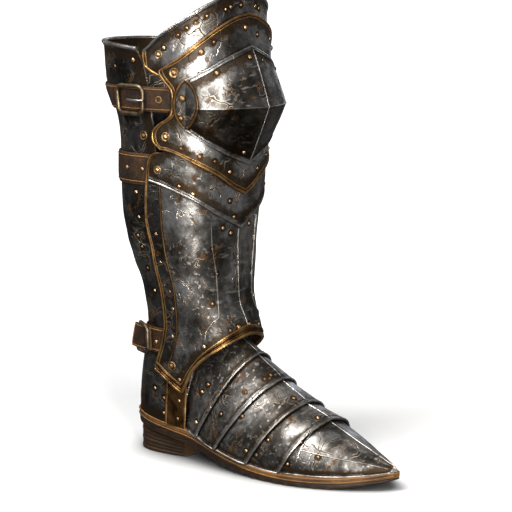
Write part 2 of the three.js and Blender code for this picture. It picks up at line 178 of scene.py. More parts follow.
# %% [markdown]
# ## The foot
# The sabaton is a row of arches from the sole over the instep. Each arch leans forward
# at the top, because a lame sits square to the slope of the foot, not upright. A station
# counts the arches, so a lame is simply the space between two stations.

# %% The sections of the foot
FOOT = [  # station, ridge forward, ridge height, base forward, half width
    (0, 57.0, 146.3, 30.8, 35.0), (1, 108.9, 111.0, 59.3, 42.5), (2, 139.9, 88.5, 88.9, 48.25),
    (3, 172.1, 68.4, 133.4, 51.5), (4, 202.1, 54.4, 174.1, 49.5), (5, 230.0, 42.0, 215.7, 39.0),
    (6, 257.9, 29.9, 251.9, 21.0), (7, 279.9, 21.0, 279.9, 4.0),
]
SOLE = [  # forward, half width, under face, upper face
    (-45.9, 2.8, 29.9, 44.0), (-44.5, 12.4, 29.9, 44.0), (-38.5, 23.2, 29.0, 43.6),
    (-27.9, 31.1, 27.7, 42.7), (-10.0, 37.9, 25.1, 40.0), (21.9, 41.2, 21.1, 35.6),
    (45.0, 41.8, 17.6, 32.6), (66.1, 43.5, 12.3, 27.3), (94.1, 48.6, 6.2, 20.2),
    (135.4, 54.8, 1.3, 13.2), (169.9, 56.5, 0.0, 10.6), (194.9, 53.7, 0.0, 10.3),
    (216.6, 46.9, 0.0, 10.6), (240.0, 36.2, 1.5, 11.9), (261.9, 22.0, 5.3, 14.5),
    (277.9, 9.0, 9.2, 17.2), (285.0, 2.3, 11.4, 18.5),
]


FOOT_ROUND = 0.86
FOOT_KEEL = 1.9
FOOT_DENT = 0.3


def foot_point(station, turn, out):
    angle = math.radians(turn)
    ridge_y, ridge_z, base_y, half = (along(FOOT, station, k) for k in (1, 2, 3, 4))
    fall = math.cos(angle) ** FOOT_ROUND if abs(turn) < 89.999 else 0.0
    side = math.copysign(abs(math.sin(angle)) ** FOOT_ROUND, turn)
    base_z = along(SOLE, base_y, 3) + GAP
    keel = FOOT_KEEL * max(0.0, 1 - abs(turn) / KEEL_SPREAD)
    dent = FOOT_DENT * noise.noise(Vector((turn * 0.06, station * 2.2, 5.0)))
    return Vector((side * (half + out + dent), -mix(base_y, ridge_y, fall),
                   mix(base_z, ridge_z + out + dent, fall) + keel))


print("sole from", SOLE[0][0], "to", SOLE[-1][0], "mm forward of the leg")

# %% [markdown]
# ## From points to plates
# A plate is a grid of points on its inner face, the same grid on its outer face, and a
# narrow wall round every open edge. Building it straight from numbers keeps the sheet
# exactly as thick as real plate and always closed, which a solidify modifier would not
# promise round a window or a tight lobe. Each sheet also remembers how near its points
# are to its rim, because dirt gathers there and the finish will ask for it.

# %% Build a sheet from a rule
def finish_mesh(name, points, faces, material, crease=14):
    mesh = bpy.data.meshes.new(name)
    mesh.from_pydata([Vector(p) / 1000 for p in points], [], faces)
    shape = bmesh.new()
    shape.from_mesh(mesh)
    bmesh.ops.remove_doubles(shape, verts=shape.verts, dist=1e-6)
    bmesh.ops.recalc_face_normals(shape, faces=shape.faces)
    for edge in shape.edges:
        edge.smooth = len(edge.link_faces) == 2 and edge.calc_face_angle(0) < math.radians(crease)
    for face in shape.faces:
        face.smooth = True
    shape.to_mesh(mesh)
    shape.free()
    mesh.materials.append(material)
    piece = bpy.data.objects.new(name, mesh)
    bpy.context.scene.collection.objects.link(piece)
    return piece


def sheet(name, across, up, place, material, filled=lambda i, j: True, crease=14,
          grime_and_shade=19.0):
    points = [place(i / across, j / up, side)
              for side in (0, 1) for j in range(up + 1) for i in range(across + 1)]

    def at(i, j, side):
        return (side * (up + 1) + j) * (across + 1) + i

    faces = []
    for j in range(up):
        for i in range(across):
            if not filled(i, j):
                continue
            ring = [(i, j), (i + 1, j), (i + 1, j + 1), (i, j + 1)]
            faces.append([at(*corner, 1) for corner in ring])
            faces.append([at(*corner, 0) for corner in ring[::-1]])
            for k, (m, n) in enumerate([(i, j - 1), (i + 1, j), (i, j + 1), (i - 1, j)]):
                inside = 0 <= m < across and 0 <= n < up and filled(m, n)
                if not inside:
                    a, b = ring[k], ring[(k + 1) % 4]
                    faces.append([at(*a, 0), at(*b, 0), at(*b, 1), at(*a, 1)])
    piece = finish_mesh(name, points, faces, material, crease)
    rim = [points[at(i, j, 1)] for j in range(up + 1) for i in range(across + 1)
           if i in (0, across) or j in (0, up)]
    if grime_and_shade:
        mark(piece, "edge_grime", rim, grime_and_shade)
    return piece


def mark(piece, name, places, fade, start=0.0):
    """Write on each point of a piece how near it is to some places: 1 there, 0 at fade mm."""
    tree = KDTree(len(places))
    for k, place in enumerate(places):
        tree.insert(place, k)
    tree.balance()
    strength = [min(1.0, max(0.0, 1 - (tree.find(v.co * 1000)[2] - start) / fade))
                for v in piece.data.vertices]
    layer = piece.data.attributes.new(name, "FLOAT", "POINT")
    layer.data.foreach_set("value", strength)


print("sheet of", PLATE, "mm ready")

# %% [markdown]
# ## Rolled edges
# An armourer turns the edge of a plate over a wire, so that it neither cuts nor bends.
# From outside it is a round bead. A tube swept along the edge makes the same bead. Its
# section is turned step by step from the last one, so the tube does not twist.

# %% Sweep a bead along a line
def bead_mesh(points, radius, sides=10, closed=False):
    corners, faces, normal = [], [], None
    count = len(points)
    for k, point in enumerate(points):
        before = points[k - 1] if k or closed else points[0]
        after = points[(k + 1) % count] if k < count - 1 or closed else points[-1]
        ahead = (after - before).normalized()
        if normal is None:
            normal = ahead.orthogonal().normalized()
        normal = (normal - ahead * normal.dot(ahead)).normalized()
        other = ahead.cross(normal)
        for n in range(sides):
            angle = 2 * math.pi * n / sides
            corners.append(point + (normal * math.cos(angle) + other * math.sin(angle)) * radius)
    for k in range(count if closed else count - 1):
        for n in range(sides):
            m, a, b = (n + 1) % sides, k * sides, (k + 1) % count * sides
            faces.append([a + n, b + n, b + m, a + m])
    if not closed:
        faces.append(list(range(sides))[::-1])
        faces.append([(count - 1) * sides + n for n in range(sides)])
    return corners, faces


def joined(name, meshes, material, crease=35):
    corners, faces = [], []
    for some_corners, some_faces in meshes:
        faces += [[index + len(corners) for index in face] for face in some_faces]
        corners += some_corners
    return finish_mesh(name, corners, faces, material, crease)


def beads(name, lines, material, sides=10):
    return joined(name, [bead_mesh(points, radius, sides) for points, radius in lines], material)


def border(place, edge, steps=120, start=0.0, stop=1.0):
    """The points along one border of a sheet's outer face."""
    rule = {"low": lambda t: (t, 0.0), "high": lambda t: (t, 1.0),
            "left": lambda t: (0.0, t), "right": lambda t: (1.0, t)}[edge]
    return [place(*rule(mix(start, stop, k / steps)), 1) for k in range(steps + 1)]


print("bead ready")

# %% [markdown]
# ## Rivets
# Rivets hold the plates to leathers behind them, or let a lame swing. Their heads are
# low domes, and the large ones sit on a ring. Both are turned from a short profile, given
# as shares of the head's radius: how far out, and how far up from the plate.

# %% Turn a rivet head
DOME = [(0.0, 0.62), (0.38, 0.56), (0.7, 0.4), (0.92, 0.16), (1.0, -0.02), (1.0, -0.25)]
RINGED = [(0.0, 0.78), (0.34, 0.72), (0.62, 0.52), (0.8, 0.24), (0.88, 0.12), (1.05, 0.12),
          (1.2, 0.26), (1.42, 0.28), (1.56, 0.12), (1.6, -0.08), (1.6, -0.25)]


def head_mesh(point, normal, radius, profile, sides=14):
    side = normal.orthogonal().normalized()
    other = normal.cross(side)
    corners = [point + normal * profile[0][1] * radius]
    for wide, high in profile[1:]:
        for n in range(sides):
            angle = 2 * math.pi * n / sides
            spoke = side * math.cos(angle) + other * math.sin(angle)
            corners.append(point + (spoke * wide + normal * high) * radius)
    faces = [[0, 1 + n, 1 + (n + 1) % sides] for n in range(sides)]
    for k in range(len(profile) - 2):
        a, b = 1 + k * sides, 1 + (k + 1) * sides
        for n in range(sides):
            m = (n + 1) % sides
            faces.append([a + n, b + n, b + m, a + m])
    faces.append([1 + (len(profile) - 2) * sides + n for n in range(sides)][::-1])
    return corners, faces


print("rivet profiles:", len(DOME), "and", len(RINGED), "steps")

# %% [markdown]
# ## Finding a place on a plate
# The camera is known, so a place in the picture is a line through the room. The first
# face that the line meets on the plate gives the point and the direction square to it.
# That is quicker and truer than guessing an angle and a height for every small rivet.
# The hidden side gets the same row mirrored, except close to the keel, where the picture
# already shows both sides.

# %% Seat heads and lines on a plate
TREES = {}
SPOTS = {}
MIRROR = Vector((-1, 1, 1))
NEAR_KEEL = 20


def seat(piece, across, down):
    """The point and outward direction where the camera's line meets a plate, in mm."""
    tree = TREES.get(piece.name)
    if tree is None:
        mesh = piece.data
        tree = BVHTree.FromPolygons([v.co for v in mesh.vertices],
                                    [p.vertices for p in mesh.polygons])
        TREES[piece.name] = tree
    point, normal, _, _ = tree.ray_cast(EYE, sight(across, down))
    if point is None:
        print("no plate of", piece.name, "at", across, down)
        return None
    if normal.dot(BACK) < 0:
        normal = -normal
    return point * 1000, normal


def rivets(name, piece, spots, material):
    """Heads at places of the picture: across, down, radius, and 1 where ringed."""
    heads = []
    for across, down, radius, *ringed in spots:
        found = seat(piece, across, down)
        if found is None:
            continue
        point, normal = found
        profile = RINGED if ringed else DOME
        heads.append(head_mesh(point, normal, radius, profile))
        SPOTS.setdefault(piece.name, []).append(point)
        if abs(point.x) > NEAR_KEEL:
            heads.append(head_mesh(point * MIRROR, normal * MIRROR, radius, profile))
            SPOTS[piece.name].append(point * MIRROR)
    return joined(name, heads, material, 50)


def surface_line(piece, spots, lift=0.1, steps=8):
    """A line drawn on a plate through places of the picture. Places off the plate drop out."""
    places = []
    for (a, b), (c, d) in zip(spots, spots[1:]):
        places += [(mix(a, c, k / steps), mix(b, d, k / steps)) for k in range(steps)]
    places.append(spots[-1])
    found = [seat(piece, a, b) for a, b in places]
    return [point + normal * lift for point, normal in (f for f in found if f)]


print("nothing is mirrored within", NEAR_KEEL, "mm of the keel")

# %% [markdown]
# ## Finishes
# The steel is old: grey clouds where it was rubbed bright, dark between them, fine
# scratches, brown pits, dirt at the rims, and painted shade where plates meet. All of it is
# painted by noise in the plate's own space, so it needs no image and stays put from every
# side. These small helpers make one node each, so that a finish reads as a list of what
# lies over what.

# %% Small helpers for material nodes
def node(tree, kind, inputs=None, **settings):
    item = tree.nodes.new(kind)
    for key, value in settings.items():
        setattr(item, key, value)
    for key, value in (inputs or {}).items():
        if isinstance(value, bpy.types.NodeSocket):
            tree.links.new(value, item.inputs[key])
        else:
            item.inputs[key].default_value = value
    return item


def ramp(tree, factor, stops):
    item = node(tree, "ShaderNodeValToRGB", {"Fac": factor})
    elements = item.color_ramp.elements
    while len(elements) < len(stops):
        elements.new(0.5)
    for element, (place, color) in zip(elements, stops):
        element.position = place
        element.color = (*color, 1.0) if isinstance(color, tuple) else (color, color, color, 1.0)
    return item.outputs["Color"]


def blend_color(tree, factor, a, b, how="MIX"):
    item = node(tree, "ShaderNodeMix", data_type="RGBA", blend_type=how)
    for key, value in ((0, factor), (6, a), (7, b)):
        if isinstance(value, bpy.types.NodeSocket):
            tree.links.new(value, item.inputs[key])
        else:
            item.inputs[key].default_value = (*value, 1.0) if isinstance(value, tuple) else value
    return item.outputs[2]


def clouds(tree, space, scale, detail=4.0, rough=0.6, twist=0.0, stretch=None):
    if stretch:
        space = node(tree, "ShaderNodeMapping", {"Vector": space, "Scale": stretch,
                                                 "Rotation": (0.35, 0.5, 0.2)}).outputs["Vector"]
    return node(tree, "ShaderNodeTexNoise", {
        "Vector": space, "Scale": scale, "Detail": detail, "Roughness": rough,
        "Distortion": twist}).outputs["Fac"]


def start_finish(name):
    material = bpy.data.materials.new(name)
    material.use_nodes = True
    tree = material.node_tree
    shader = tree.nodes["Principled BSDF"]
    return material, tree, shader, node(tree, "ShaderNodeTexCoord").outputs["Object"]


def relief(tree, shader, height, depth, strength):
    bump = node(tree, "ShaderNodeBump", {"Height": height, "Distance": depth,
                                         "Strength": strength})
    tree.links.new(bump.outputs["Normal"], shader.inputs["Normal"])


def near(tree, name):
    """The value that mark() wrote on a piece's points."""
    return node(tree, "ShaderNodeAttribute", attribute_name=name).outputs["Fac"]


def near_dirt(tree, name, worn, start, full, strength):
    """Dirt that gathers near marked places, with a ragged border."""
    total = node(tree, "ShaderNodeMath", {0: near(tree, name), 1: worn}, operation="ADD")
    return ramp(tree, total.outputs[0], [(start, 0.0), (full, strength)])


print("material helpers ready")

# %% [markdown]
# ## Scores in the steel
# Blows and scrapes leave short angular lines, dark in the cut. The pale line beside each
# is a painted highlight, where the edge of the cut would catch the light. The borders of
# large Voronoi cells have that angular look. A slow cloud keeps them in a few places only,
# because an even web of lines would look like cracked glass.

# %% Cut the scores
def cut_lines(tree, space, scale, where, width=0.02):
    """Short angular scores: the borders of large cells, kept only in a few places."""
    wander = blend_color(tree, 0.02, space, node(tree, "ShaderNodeTexNoise", {
        "Vector": space, "Scale": 45.0}).outputs["Color"])
    split = node(tree, "ShaderNodeTexVoronoi", {"Vector": wander, "Scale": scale},
                 feature="DISTANCE_TO_EDGE").outputs["Distance"]
    keep = ramp(tree, clouds(tree, space, scale * 0.55, 2), [(where, 0.0), (where + 0.03, 1.0)])
    dark = blend_color(tree, 1.0, ramp(tree, split, [(0.0, 1.0), (width, 0.0)]), keep, "MULTIPLY")
    # The pale line beside the cut is a painted highlight.
    pale = blend_color(tree, 1.0, ramp(tree, split, [(width, 0.0), (width * 1.7, 1.0),
                                                     (width * 2.6, 0.0)]), keep, "MULTIPLY")
    return dark, pale


print("scores ready")

# %% [markdown]
# ## The worn steel
# The finish goes on in layers: forged clouds, hair-fine scratches, scores with a painted
# highlight beside them, rust pits, dirt at the rims and round the rivets, painted shade on
# the cop's lower facets, and last painted shade in the corners. Rust and dirt are also
# rougher, and lie lower, than bright steel. Three shades come from one recipe: plates,
# dark plates, and edges that hands keep bright.

# %% Mix the worn steel
# The pale tone after each cut's colour is a painted highlight beside the cut.
SCORE, SCORE_HIGHLIGHT = (0.055, 0.030, 0.013), (0.40, 0.34, 0.27)
VEIN, VEIN_HIGHLIGHT = (0.075, 0.045, 0.022), (0.30, 0.26, 0.21)
RIM_DIRT, RIVET_DIRT = (0.036, 0.022, 0.011), (0.040, 0.021, 0.009)
# Painted shade: the first tone darkens the cop's lower facets, the second darkens corners.
LOW_FACET_SHADE, CORNER_SHADE = (0.30, 0.27, 0.23), (0.018, 0.012, 0.007)
PALE_RUST, DARK_RUST = (0.20, 0.095, 0.030), (0.035, 0.018, 0.008)


def grey(value):
    return (value, value, value)


def worn_steel(name, dark, middle, light, rust, gloss, corner_shade_strength=0.95):
    material, tree, shader, space = start_finish(name)
    patches = clouds(tree, space, 21, 5, 0.6, 0.5)
    fine = clouds(tree, space, 150, 4, 0.65, 0.3)
    tones = ((0.40, dark, (1.0, 0.88, 0.75)), (0.49, middle, (1.0, 0.93, 0.85)),
             (0.585, light * 0.70, (1.0, 0.96, 0.91)), (0.68, light, (1.0, 0.98, 0.95)))
    color = ramp(tree, patches, [(place, tuple(value * part for part in tint))
                                 for place, value, tint in tones])
    color = blend_color(tree, 0.6, color, ramp(tree, fine, [(0.36, 0.35), (0.60, 1.0)]),
                        "MULTIPLY")
    hair = clouds(tree, space, 30, 2, 0.5, 0, (0.35, 9.0, 9.0))
    color = blend_color(tree, ramp(tree, hair, [(0.60, 0.0), (0.70, 0.35)]), color,
                        (light, light * 0.95, light * 0.9))
    # The scores and veins are dark cuts with a painted highlight beside each.
    scored, lit = cut_lines(tree, space, 36.0, 0.52)
    veins, vein_light = cut_lines(tree, space, 78.0, 0.56, 0.026)
    for where, paint in ((scored, SCORE), (lit, SCORE_HIGHLIGHT), (veins, VEIN), (vein_light, VEIN_HIGHLIGHT)):
        color = blend_color(tree, where, color, paint)
    blot = clouds(tree, space, 62, 5, 0.68, 0.5)
    stain = ramp(tree, blot, [(0.595, 0.0), (0.63, rust)])
    color = blend_color(tree, stain, color,
                        ramp(tree, blot, [(0.60, PALE_RUST), (0.68, DARK_RUST)]))
    worn = clouds(tree, space, 95, 4, 0.7, 0.3)
    dirt_and_shade = near_dirt(tree, "edge_grime", worn, 0.70, 1.28, 0.93)
    color = blend_color(tree, dirt_and_shade, color, RIM_DIRT)
    halo = near_dirt(tree, "rivet_grime", worn, 0.85, 1.20, 0.92)
    color = blend_color(tree, halo, color, RIVET_DIRT)
    # Painted shade: the cop's lower facets are multiplied darker, as if turned away from the
    # light.
    color = blend_color(tree, near(tree, "low_facet_shade"), color, LOW_FACET_SHADE, "MULTIPLY")
    # Painted shade: ambient occlusion darkens the corners and the gaps between plates.
    corner = node(tree, "ShaderNodeAmbientOcclusion", {"Distance": 0.005}, samples=6)
    shade = ramp(tree, corner.outputs["AO"], [(0.35, corner_shade_strength), (0.8, 0.0)])
    color = blend_color(tree, shade, color, CORNER_SHADE)
    tree.links.new(color, shader.inputs["Base Color"])
    shader.inputs["Metallic"].default_value = 1.0
    rough = ramp(tree, patches, [(0.38, gloss + 0.18), (0.66, gloss)])
    rough = blend_color(tree, dirt_and_shade, rough, grey(0.6))
    rough = blend_color(tree, stain, rough, grey(0.75))
    tree.links.new(rough, shader.inputs["Roughness"])
    height = blend_color(tree, 0.35, patches, fine)
    for where, level in ((stain, 0.15), (scored, 0.0), (veins, 0.1)):
        height = blend_color(tree, where, height, grey(level))
    relief(tree, shader, height, 0.0010, 0.6)
    return material


STEEL = worn_steel("steel", 0.045, 0.14, 0.62, 0.75, 0.33)
DARK_STEEL = worn_steel("dark_steel", 0.020, 0.055, 0.16, 0.8, 0.36)
EDGE_STEEL = worn_steel("edge_steel", 0.20, 0.50, 0.90, 0.3, 0.26, 0.45)
print("steel finishes ready")

# %% [markdown]
# ## The aged brass
# The brass has gone brown in places and stays yellow where hands and cloth rub it.
# Pointiness finds the ridges, whose pale colour is partly rubbed wear and partly a painted
# highlight, and ambient occlusion paints shade in the corners. One recipe with a shade
# and a tint gives trim, rivets and the grey buckle metal.

# %% Mix the brass
BRASS_TONES = [(0.38, (0.060, 0.028, 0.009)), (0.50, (0.26, 0.135, 0.042)),
               (0.66, (0.66, 0.42, 0.17))]
RUBBED_AND_HIGHLIGHT = (0.95, 0.66, 0.34)


def aged_brass(name, shade, tint):
    def shaded(tone):
        return tuple(part * shade * t for part, t in zip(tone, tint))

    material, tree, shader, space = start_finish(name)
    patches = clouds(tree, space, 55, 5, 0.65, 0.4)
    color = ramp(tree, patches, [(place, shaded(tone)) for place, tone in BRASS_TONES])
    # Painted shade: ambient occlusion darkens the corners.
    grime_and_shade = node(tree, "ShaderNodeAmbientOcclusion", {"Distance": 0.004}, samples=6)
    dirt_and_shade = ramp(tree, grime_and_shade.outputs["AO"], [(0.3, 1.0), (0.8, 0.0)])
    color = blend_color(tree, dirt_and_shade, color, (0.035, 0.018, 0.007))
    # The ridges get a pale colour, partly rubbed wear and partly a painted highlight.
    edge = node(tree, "ShaderNodeNewGeometry").outputs["Pointiness"]
    color = blend_color(tree, ramp(tree, edge, [(0.53, 0.0), (0.62, 0.4)]), color,
                        shaded(RUBBED_AND_HIGHLIGHT))
    tree.links.new(color, shader.inputs["Base Color"])
    shader.inputs["Metallic"].default_value = 0.95
    tree.links.new(ramp(tree, patches, [(0.4, 0.55), (0.65, 0.34)]), shader.inputs["Roughness"])
    relief(tree, shader, patches, 0.0006, 0.4)
    return material


BRASS = aged_brass("brass", 0.85, (1.0, 0.95, 0.90))
DULL_BRASS = aged_brass("dull_brass", 0.36, (1.0, 0.94, 0.86))
RIVET_BRASS = aged_brass("rivet_brass", 0.95, (0.95, 1.0, 1.25))
BUCKLE_METAL = aged_brass("buckle_metal", 0.48, (0.95, 1.2, 2.0))
print("brass finishes ready")

# %% [markdown]
# ## The leathers
# The straps are waxed leather with a fine grain, darker at the edges, where ambient
# occlusion paints shade beside other parts. The sole is coarser, with the streaks of cut
# leather, and the welt is paler. Small Voronoi cells make the grain: their borders are the
# creases between the pores.

# %% Mix the leathers
def old_leather(name, dark, light, grain=900.0, streaks=0.0):
    material, tree, shader, space = start_finish(name)
    patches = clouds(tree, space, 42, 6, 0.65, 0.3)
    color = ramp(tree, patches, [(0.34, dark), (0.62, light)])
    cells = node(tree, "ShaderNodeTexVoronoi", {"Vector": space, "Scale": grain},
                 feature="DISTANCE_TO_EDGE").outputs["Distance"]
    color = blend_color(tree, ramp(tree, cells, [(0.0, 0.5), (0.1, 0.0)]), color, dark)
    height = ramp(tree, cells, [(0.0, 0.0), (0.16, 1.0)])
    if streaks:
        layer = clouds(tree, space, streaks, 3, 0.6, 0.0, (0.12, 0.12, 3.0))
        color = blend_color(tree, ramp(tree, layer, [(0.42, 0.8), (0.56, 0.0)]), color, dark)
        height = blend_color(tree, 0.6, height, layer)
    # Painted shade: ambient occlusion darkens the corners beside other parts.
    grime_and_shade = node(tree, "ShaderNodeAmbientOcclusion", {"Distance": 0.008}, samples=6)
    dirt_and_shade = ramp(tree, grime_and_shade.outputs["AO"], [(0.35, 0.9), (0.85, 0.0)])
    color = blend_color(tree, dirt_and_shade, color, (0.012, 0.007, 0.004))
    edge = node(tree, "ShaderNodeNewGeometry").outputs["Pointiness"]
    color = blend_color(tree, ramp(tree, edge, [(0.52, 0.0), (0.60, 0.4)]), color,
                        tuple(min(1.0, part * 2.6) for part in light))
    tree.links.new(color, shader.inputs["Base Color"])
    shader.inputs["Specular IOR Level"].default_value = 0.3
    tree.links.new(ramp(tree, patches, [(0.35, 0.6), (0.65, 0.42)]), shader.inputs["Roughness"])
    relief(tree, shader, height, 0.0005, 0.5)
    return material


STRAP_LEATHER = old_leather("strap_leather", (0.006, 0.0028, 0.0009), (0.044, 0.019, 0.0055))
SOLE_LEATHER = old_leather("sole_leather", (0.005, 0.0025, 0.001), (0.036, 0.018, 0.0065), 700.0,
                           300.0)
WELT_LEATHER = old_leather("welt_leather", (0.030, 0.014, 0.004), (0.19, 0.090, 0.028), 700.0)
# Near-black leather that stands for painted shade in holes and notches.
HOLE_SHADE = old_leather("hole", (0.004, 0.003, 0.002), (0.012, 0.008, 0.005))


print("leather finishes ready")


def dress(piece, slot, *nodes, body="boot"):
    """Attach a piece to the body it rides and hide the solids it stands for. The slot is not used.
    """
    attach(piece, body)
    if nodes:
        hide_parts(*nodes)
    return piece


# %% [markdown]
# ## The plates of the leg
# Each plate is a patch of the leg between a lower and an upper edge, cut off behind at
# its own line. The edge lines are short tables of height against the angle from the
# keel, drawn to follow the picture's V-shaped lames and lobes.

# %% A rule for the leg plates
def leg_plate(low, high, rear, out):
    last = low[-1][0]

    def place(u, v, side):
        share = 2 * u - 1
        reach = abs(share) * last
        height = mix(along(low, reach, 1), along(high, reach, 1), v) * LEG_HEIGHT
        turn = share * along(rear, height / LEG_HEIGHT, 1)
        return leg_point(turn, height, out + side * PLATE)

    return place


print("plates leave", PLAY, "mm between them")

# %% [markdown]
# ## Shell, lames and knee plate
# Heights are shares of the leg's height and angles are degrees from the keel. Outward
# they lie in the order of the real plates: shell, lower lame, knee plate. The knee plate
# has a window where the cop covers it, and the top lame rides its own moving body.

# %% Cut the leg plates
SHELL_REAR = [(0.150, 108), (0.189, 111), (0.198, 110), (0.262, 97), (0.317, 88), (0.376, 85),
              (0.445, 87), (0.512, 91.5), (0.586, 89), (0.605, 88), (0.636, 86), (0.660, 84)]
SHELL_LOW = [(0, 0.274), (13, 0.269), (33, 0.252), (52, 0.215), (63, 0.172), (70, 0.150),
             (74, 0.151), (90, 0.168), (111, 0.190)]
SHELL_HIGH = [(0, 0.575), (40, 0.600), (70, 0.640), (90, 0.652), (102, 0.653), (108, 0.647),
              (111, 0.634)]
shell_place = leg_plate(SHELL_LOW, SHELL_HIGH, SHELL_REAR, SHELL)
shell = dress(sheet("greave_shell", 144, 90, shell_place, STEEL), "steel", "front_shell")

LAME_REAR = [(0.540, 80), (0.596, 84), (0.620, 84.5), (0.640, 82), (0.655, 76), (0.690, 66)]
LAME_LOW = [(0, 0.496), (13, 0.510), (31, 0.531), (53, 0.567), (73, 0.590), (84, 0.597)]
LAME_HIGH = [(0, 0.594), (38, 0.638), (62, 0.670), (74, 0.668), (84, 0.650)]
lame_place = leg_plate(LAME_LOW, LAME_HIGH, LAME_REAR, LOWER_LAME)
lame = dress(sheet("greave_lame", 132, 24, lame_place, STEEL), "steel", "lower_lame")

KNEE_REAR = [(0.560, 60), (0.640, 66), (0.662, 72), (0.677, 78), (0.696, 79), (0.710, 75),
             (0.726, 66), (0.742, 63), (0.782, 63), (0.804, 69), (0.820, 72.5), (0.836, 69),
             (0.930, 69)]
KNEE_LOW = [(0, 0.567), (15, 0.582), (34, 0.611), (53, 0.639), (64, 0.659), (72, 0.664)]
KNEE_HIGH = [(0, 0.935), (15, 0.927), (31, 0.908), (46, 0.880), (59, 0.851), (67, 0.836),
             (72, 0.822)]
knee_place = leg_plate(KNEE_LOW, KNEE_HIGH, KNEE_REAR, KNEE)
knee = dress(sheet("knee_frame", 120, 72, knee_place, STEEL,
                   lambda i, j: not (30 <= i < 90 and 24 <= j < 48)), "steel", "knee_plate")

TOP_REAR = [(0.790, 76), (0.806, 80), (0.815, 84), (0.825, 87), (0.840, 89.5), (0.858, 90),
            (0.875, 87), (1.000, 86)]
TOP_LOW = [(0, 0.842), (40, 0.826), (56, 0.802), (72, 0.805), (80, 0.811), (86, 0.820),
           (90, 0.830)]
TOP_HIGH = [(0, 1.000), (15, 0.985), (29, 0.966), (43, 0.949), (61, 0.918), (73, 0.898),
            (83, 0.879), (90, 0.860)]
top_place = leg_plate(TOP_LOW, TOP_HIGH, TOP_REAR, SHELL)
top = dress(sheet("top_lame", 132, 36, top_place, STEEL), "steel", "upper_lame",
            body="upper_lame")
print("leg plates:", shell.name, lame.name, knee.name, top.name)

# %% [markdown]
# ## The calf shell
# The back of the leg is closed by one darker plate, open in front. Its top stands away
# a little, with a heavy rolled rim.

# %% Make the calf shell
CALF_FRONT = [(0.245, 80), (0.600, 80), (0.700, 83), (0.724, 85), (0.801, 90), (0.837, 94),
              (0.862, 100)]


def calf_place(u, v, side):
    share = 2 * u - 1
    flare = max(0.0, v - 0.9) * 10
    height = mix(0.248 * LEG_HEIGHT,
                 0.864 * LEG_HEIGHT + 6 * math.cos(math.radians(90 * share)), v)
    front = along(CALF_FRONT, height / LEG_HEIGHT, 1)
    return leg_point(180 + share * (180 - front), height, CALF + side * PLATE + 2 * flare)


calf = dress(sheet("calf_plate", 110, 100, calf_place, DARK_STEEL), "dark_steel", "calf_shell")
print("calf plate ready")

# %% [markdown]
# ## The knee cop
# The cop is beaten up into four flat facets that meet in a point, which turns a blow
# aside. The bulge falls from that point to the edges above and below, and stays full
# toward the sides, so the cop looks round from the front. The fold lines stay sharp
# because the crease test finds them. The lower facets get painted shade: a value written
# on their points tells the steel to darken them.

# %% Make the cop
COP_CREASE = 0.748 * LEG_HEIGHT
COP_END = 53
COP_POINT = 24.5
COP_ROUND = 0.75
COP_LOW = [(0, 0.630), (20, 0.650), (28, 0.661), (40, 0.679), (53, 0.705)]
COP_HIGH = [(0, 0.869), (24, 0.846), (39, 0.824), (53, 0.804)]


def cop_bulge(turn, height):
    edge = along(COP_LOW if height < COP_CREASE else COP_HIGH, abs(turn), 1) * LEG_HEIGHT
    rise = max(0.0, 1 - abs((height - COP_CREASE) / (edge - COP_CREASE)))
    share = min(1.0, abs(turn) / COP_END)
    return COP_POINT * rise**0.85 * (1 - (1 - COP_ROUND) * share - COP_ROUND * share**3)


def cop_place(u, v, side):
    turn = (2 * u - 1) * COP_END
    edge = along(COP_LOW if v < 0.5 else COP_HIGH, abs(turn), 1) * LEG_HEIGHT
    height = mix(COP_CREASE, edge, abs(2 * v - 1))
    return leg_point(turn, height, COP + side * PLATE + cop_bulge(turn, height))


cop = dress(sheet("knee_cop_fine", 96, 72, cop_place, STEEL, crease=9), "steel", "knee_cop")
# Painted shade: every point below the crease is marked, so the steel darkens the lower facets.
low_facet_shade = cop.data.attributes.new("low_facet_shade", "FLOAT", "POINT")
low_facet_shade.data.foreach_set("value", [min(1.0, max(0.0, (COP_CREASE - v.co.z * 1000) / 1.2))
                                  for v in cop.data.vertices])


print("cop stands", COP_POINT, "mm out")

# %% [markdown]
# ## The side plates of the cop
# A pointed oval lies over each end of the cop, where the leather that holds it is
# riveted. It bends over the cop's own bulge, so it is placed with the same rule.

# %% Make the side plates
def side_rule(hand):
    def place(u, v, side):
        half = 7.53 * (0.12 + 0.88 * math.sin(math.pi * v) ** 0.7)
        turn = hand * COP_END + (2 * u - 1) * half
        height = mix(0.709, 0.803, v) * LEG_HEIGHT
        return leg_point(turn, height, SIDE + side * PLATE + cop_bulge(turn, height))
    return place


HANDS = (("outer", -1), ("inner", 1))
side_plates = {}
for word, hand in HANDS:
    side_plates[word] = dress(sheet(f"cop_side_{word}", 24, 40, side_rule(hand), DARK_STEEL,
                                    grime_and_shade=3.5), "dark_steel", f"side_plate_{word}")
print("side plates:", len(side_plates))

# %% [markdown]
# ## The sabaton
# Four lames and a toe cap cover the foot. Each lame lifts toward its front edge, so it
# rides over the next one and the foot can bend.

# %% Make the sabaton
LAME_LIFT = 3.4
LAST_STATION = 7


def foot_rule(first, last):
    def place(u, v, side):
        station = mix(first, last, v)
        rise = LAME_LIFT * min(1.0, station - first) if last < LAST_STATION else 0.0
        return foot_point(station, (2 * u - 1) * 90, side * PLATE + rise)
    return place


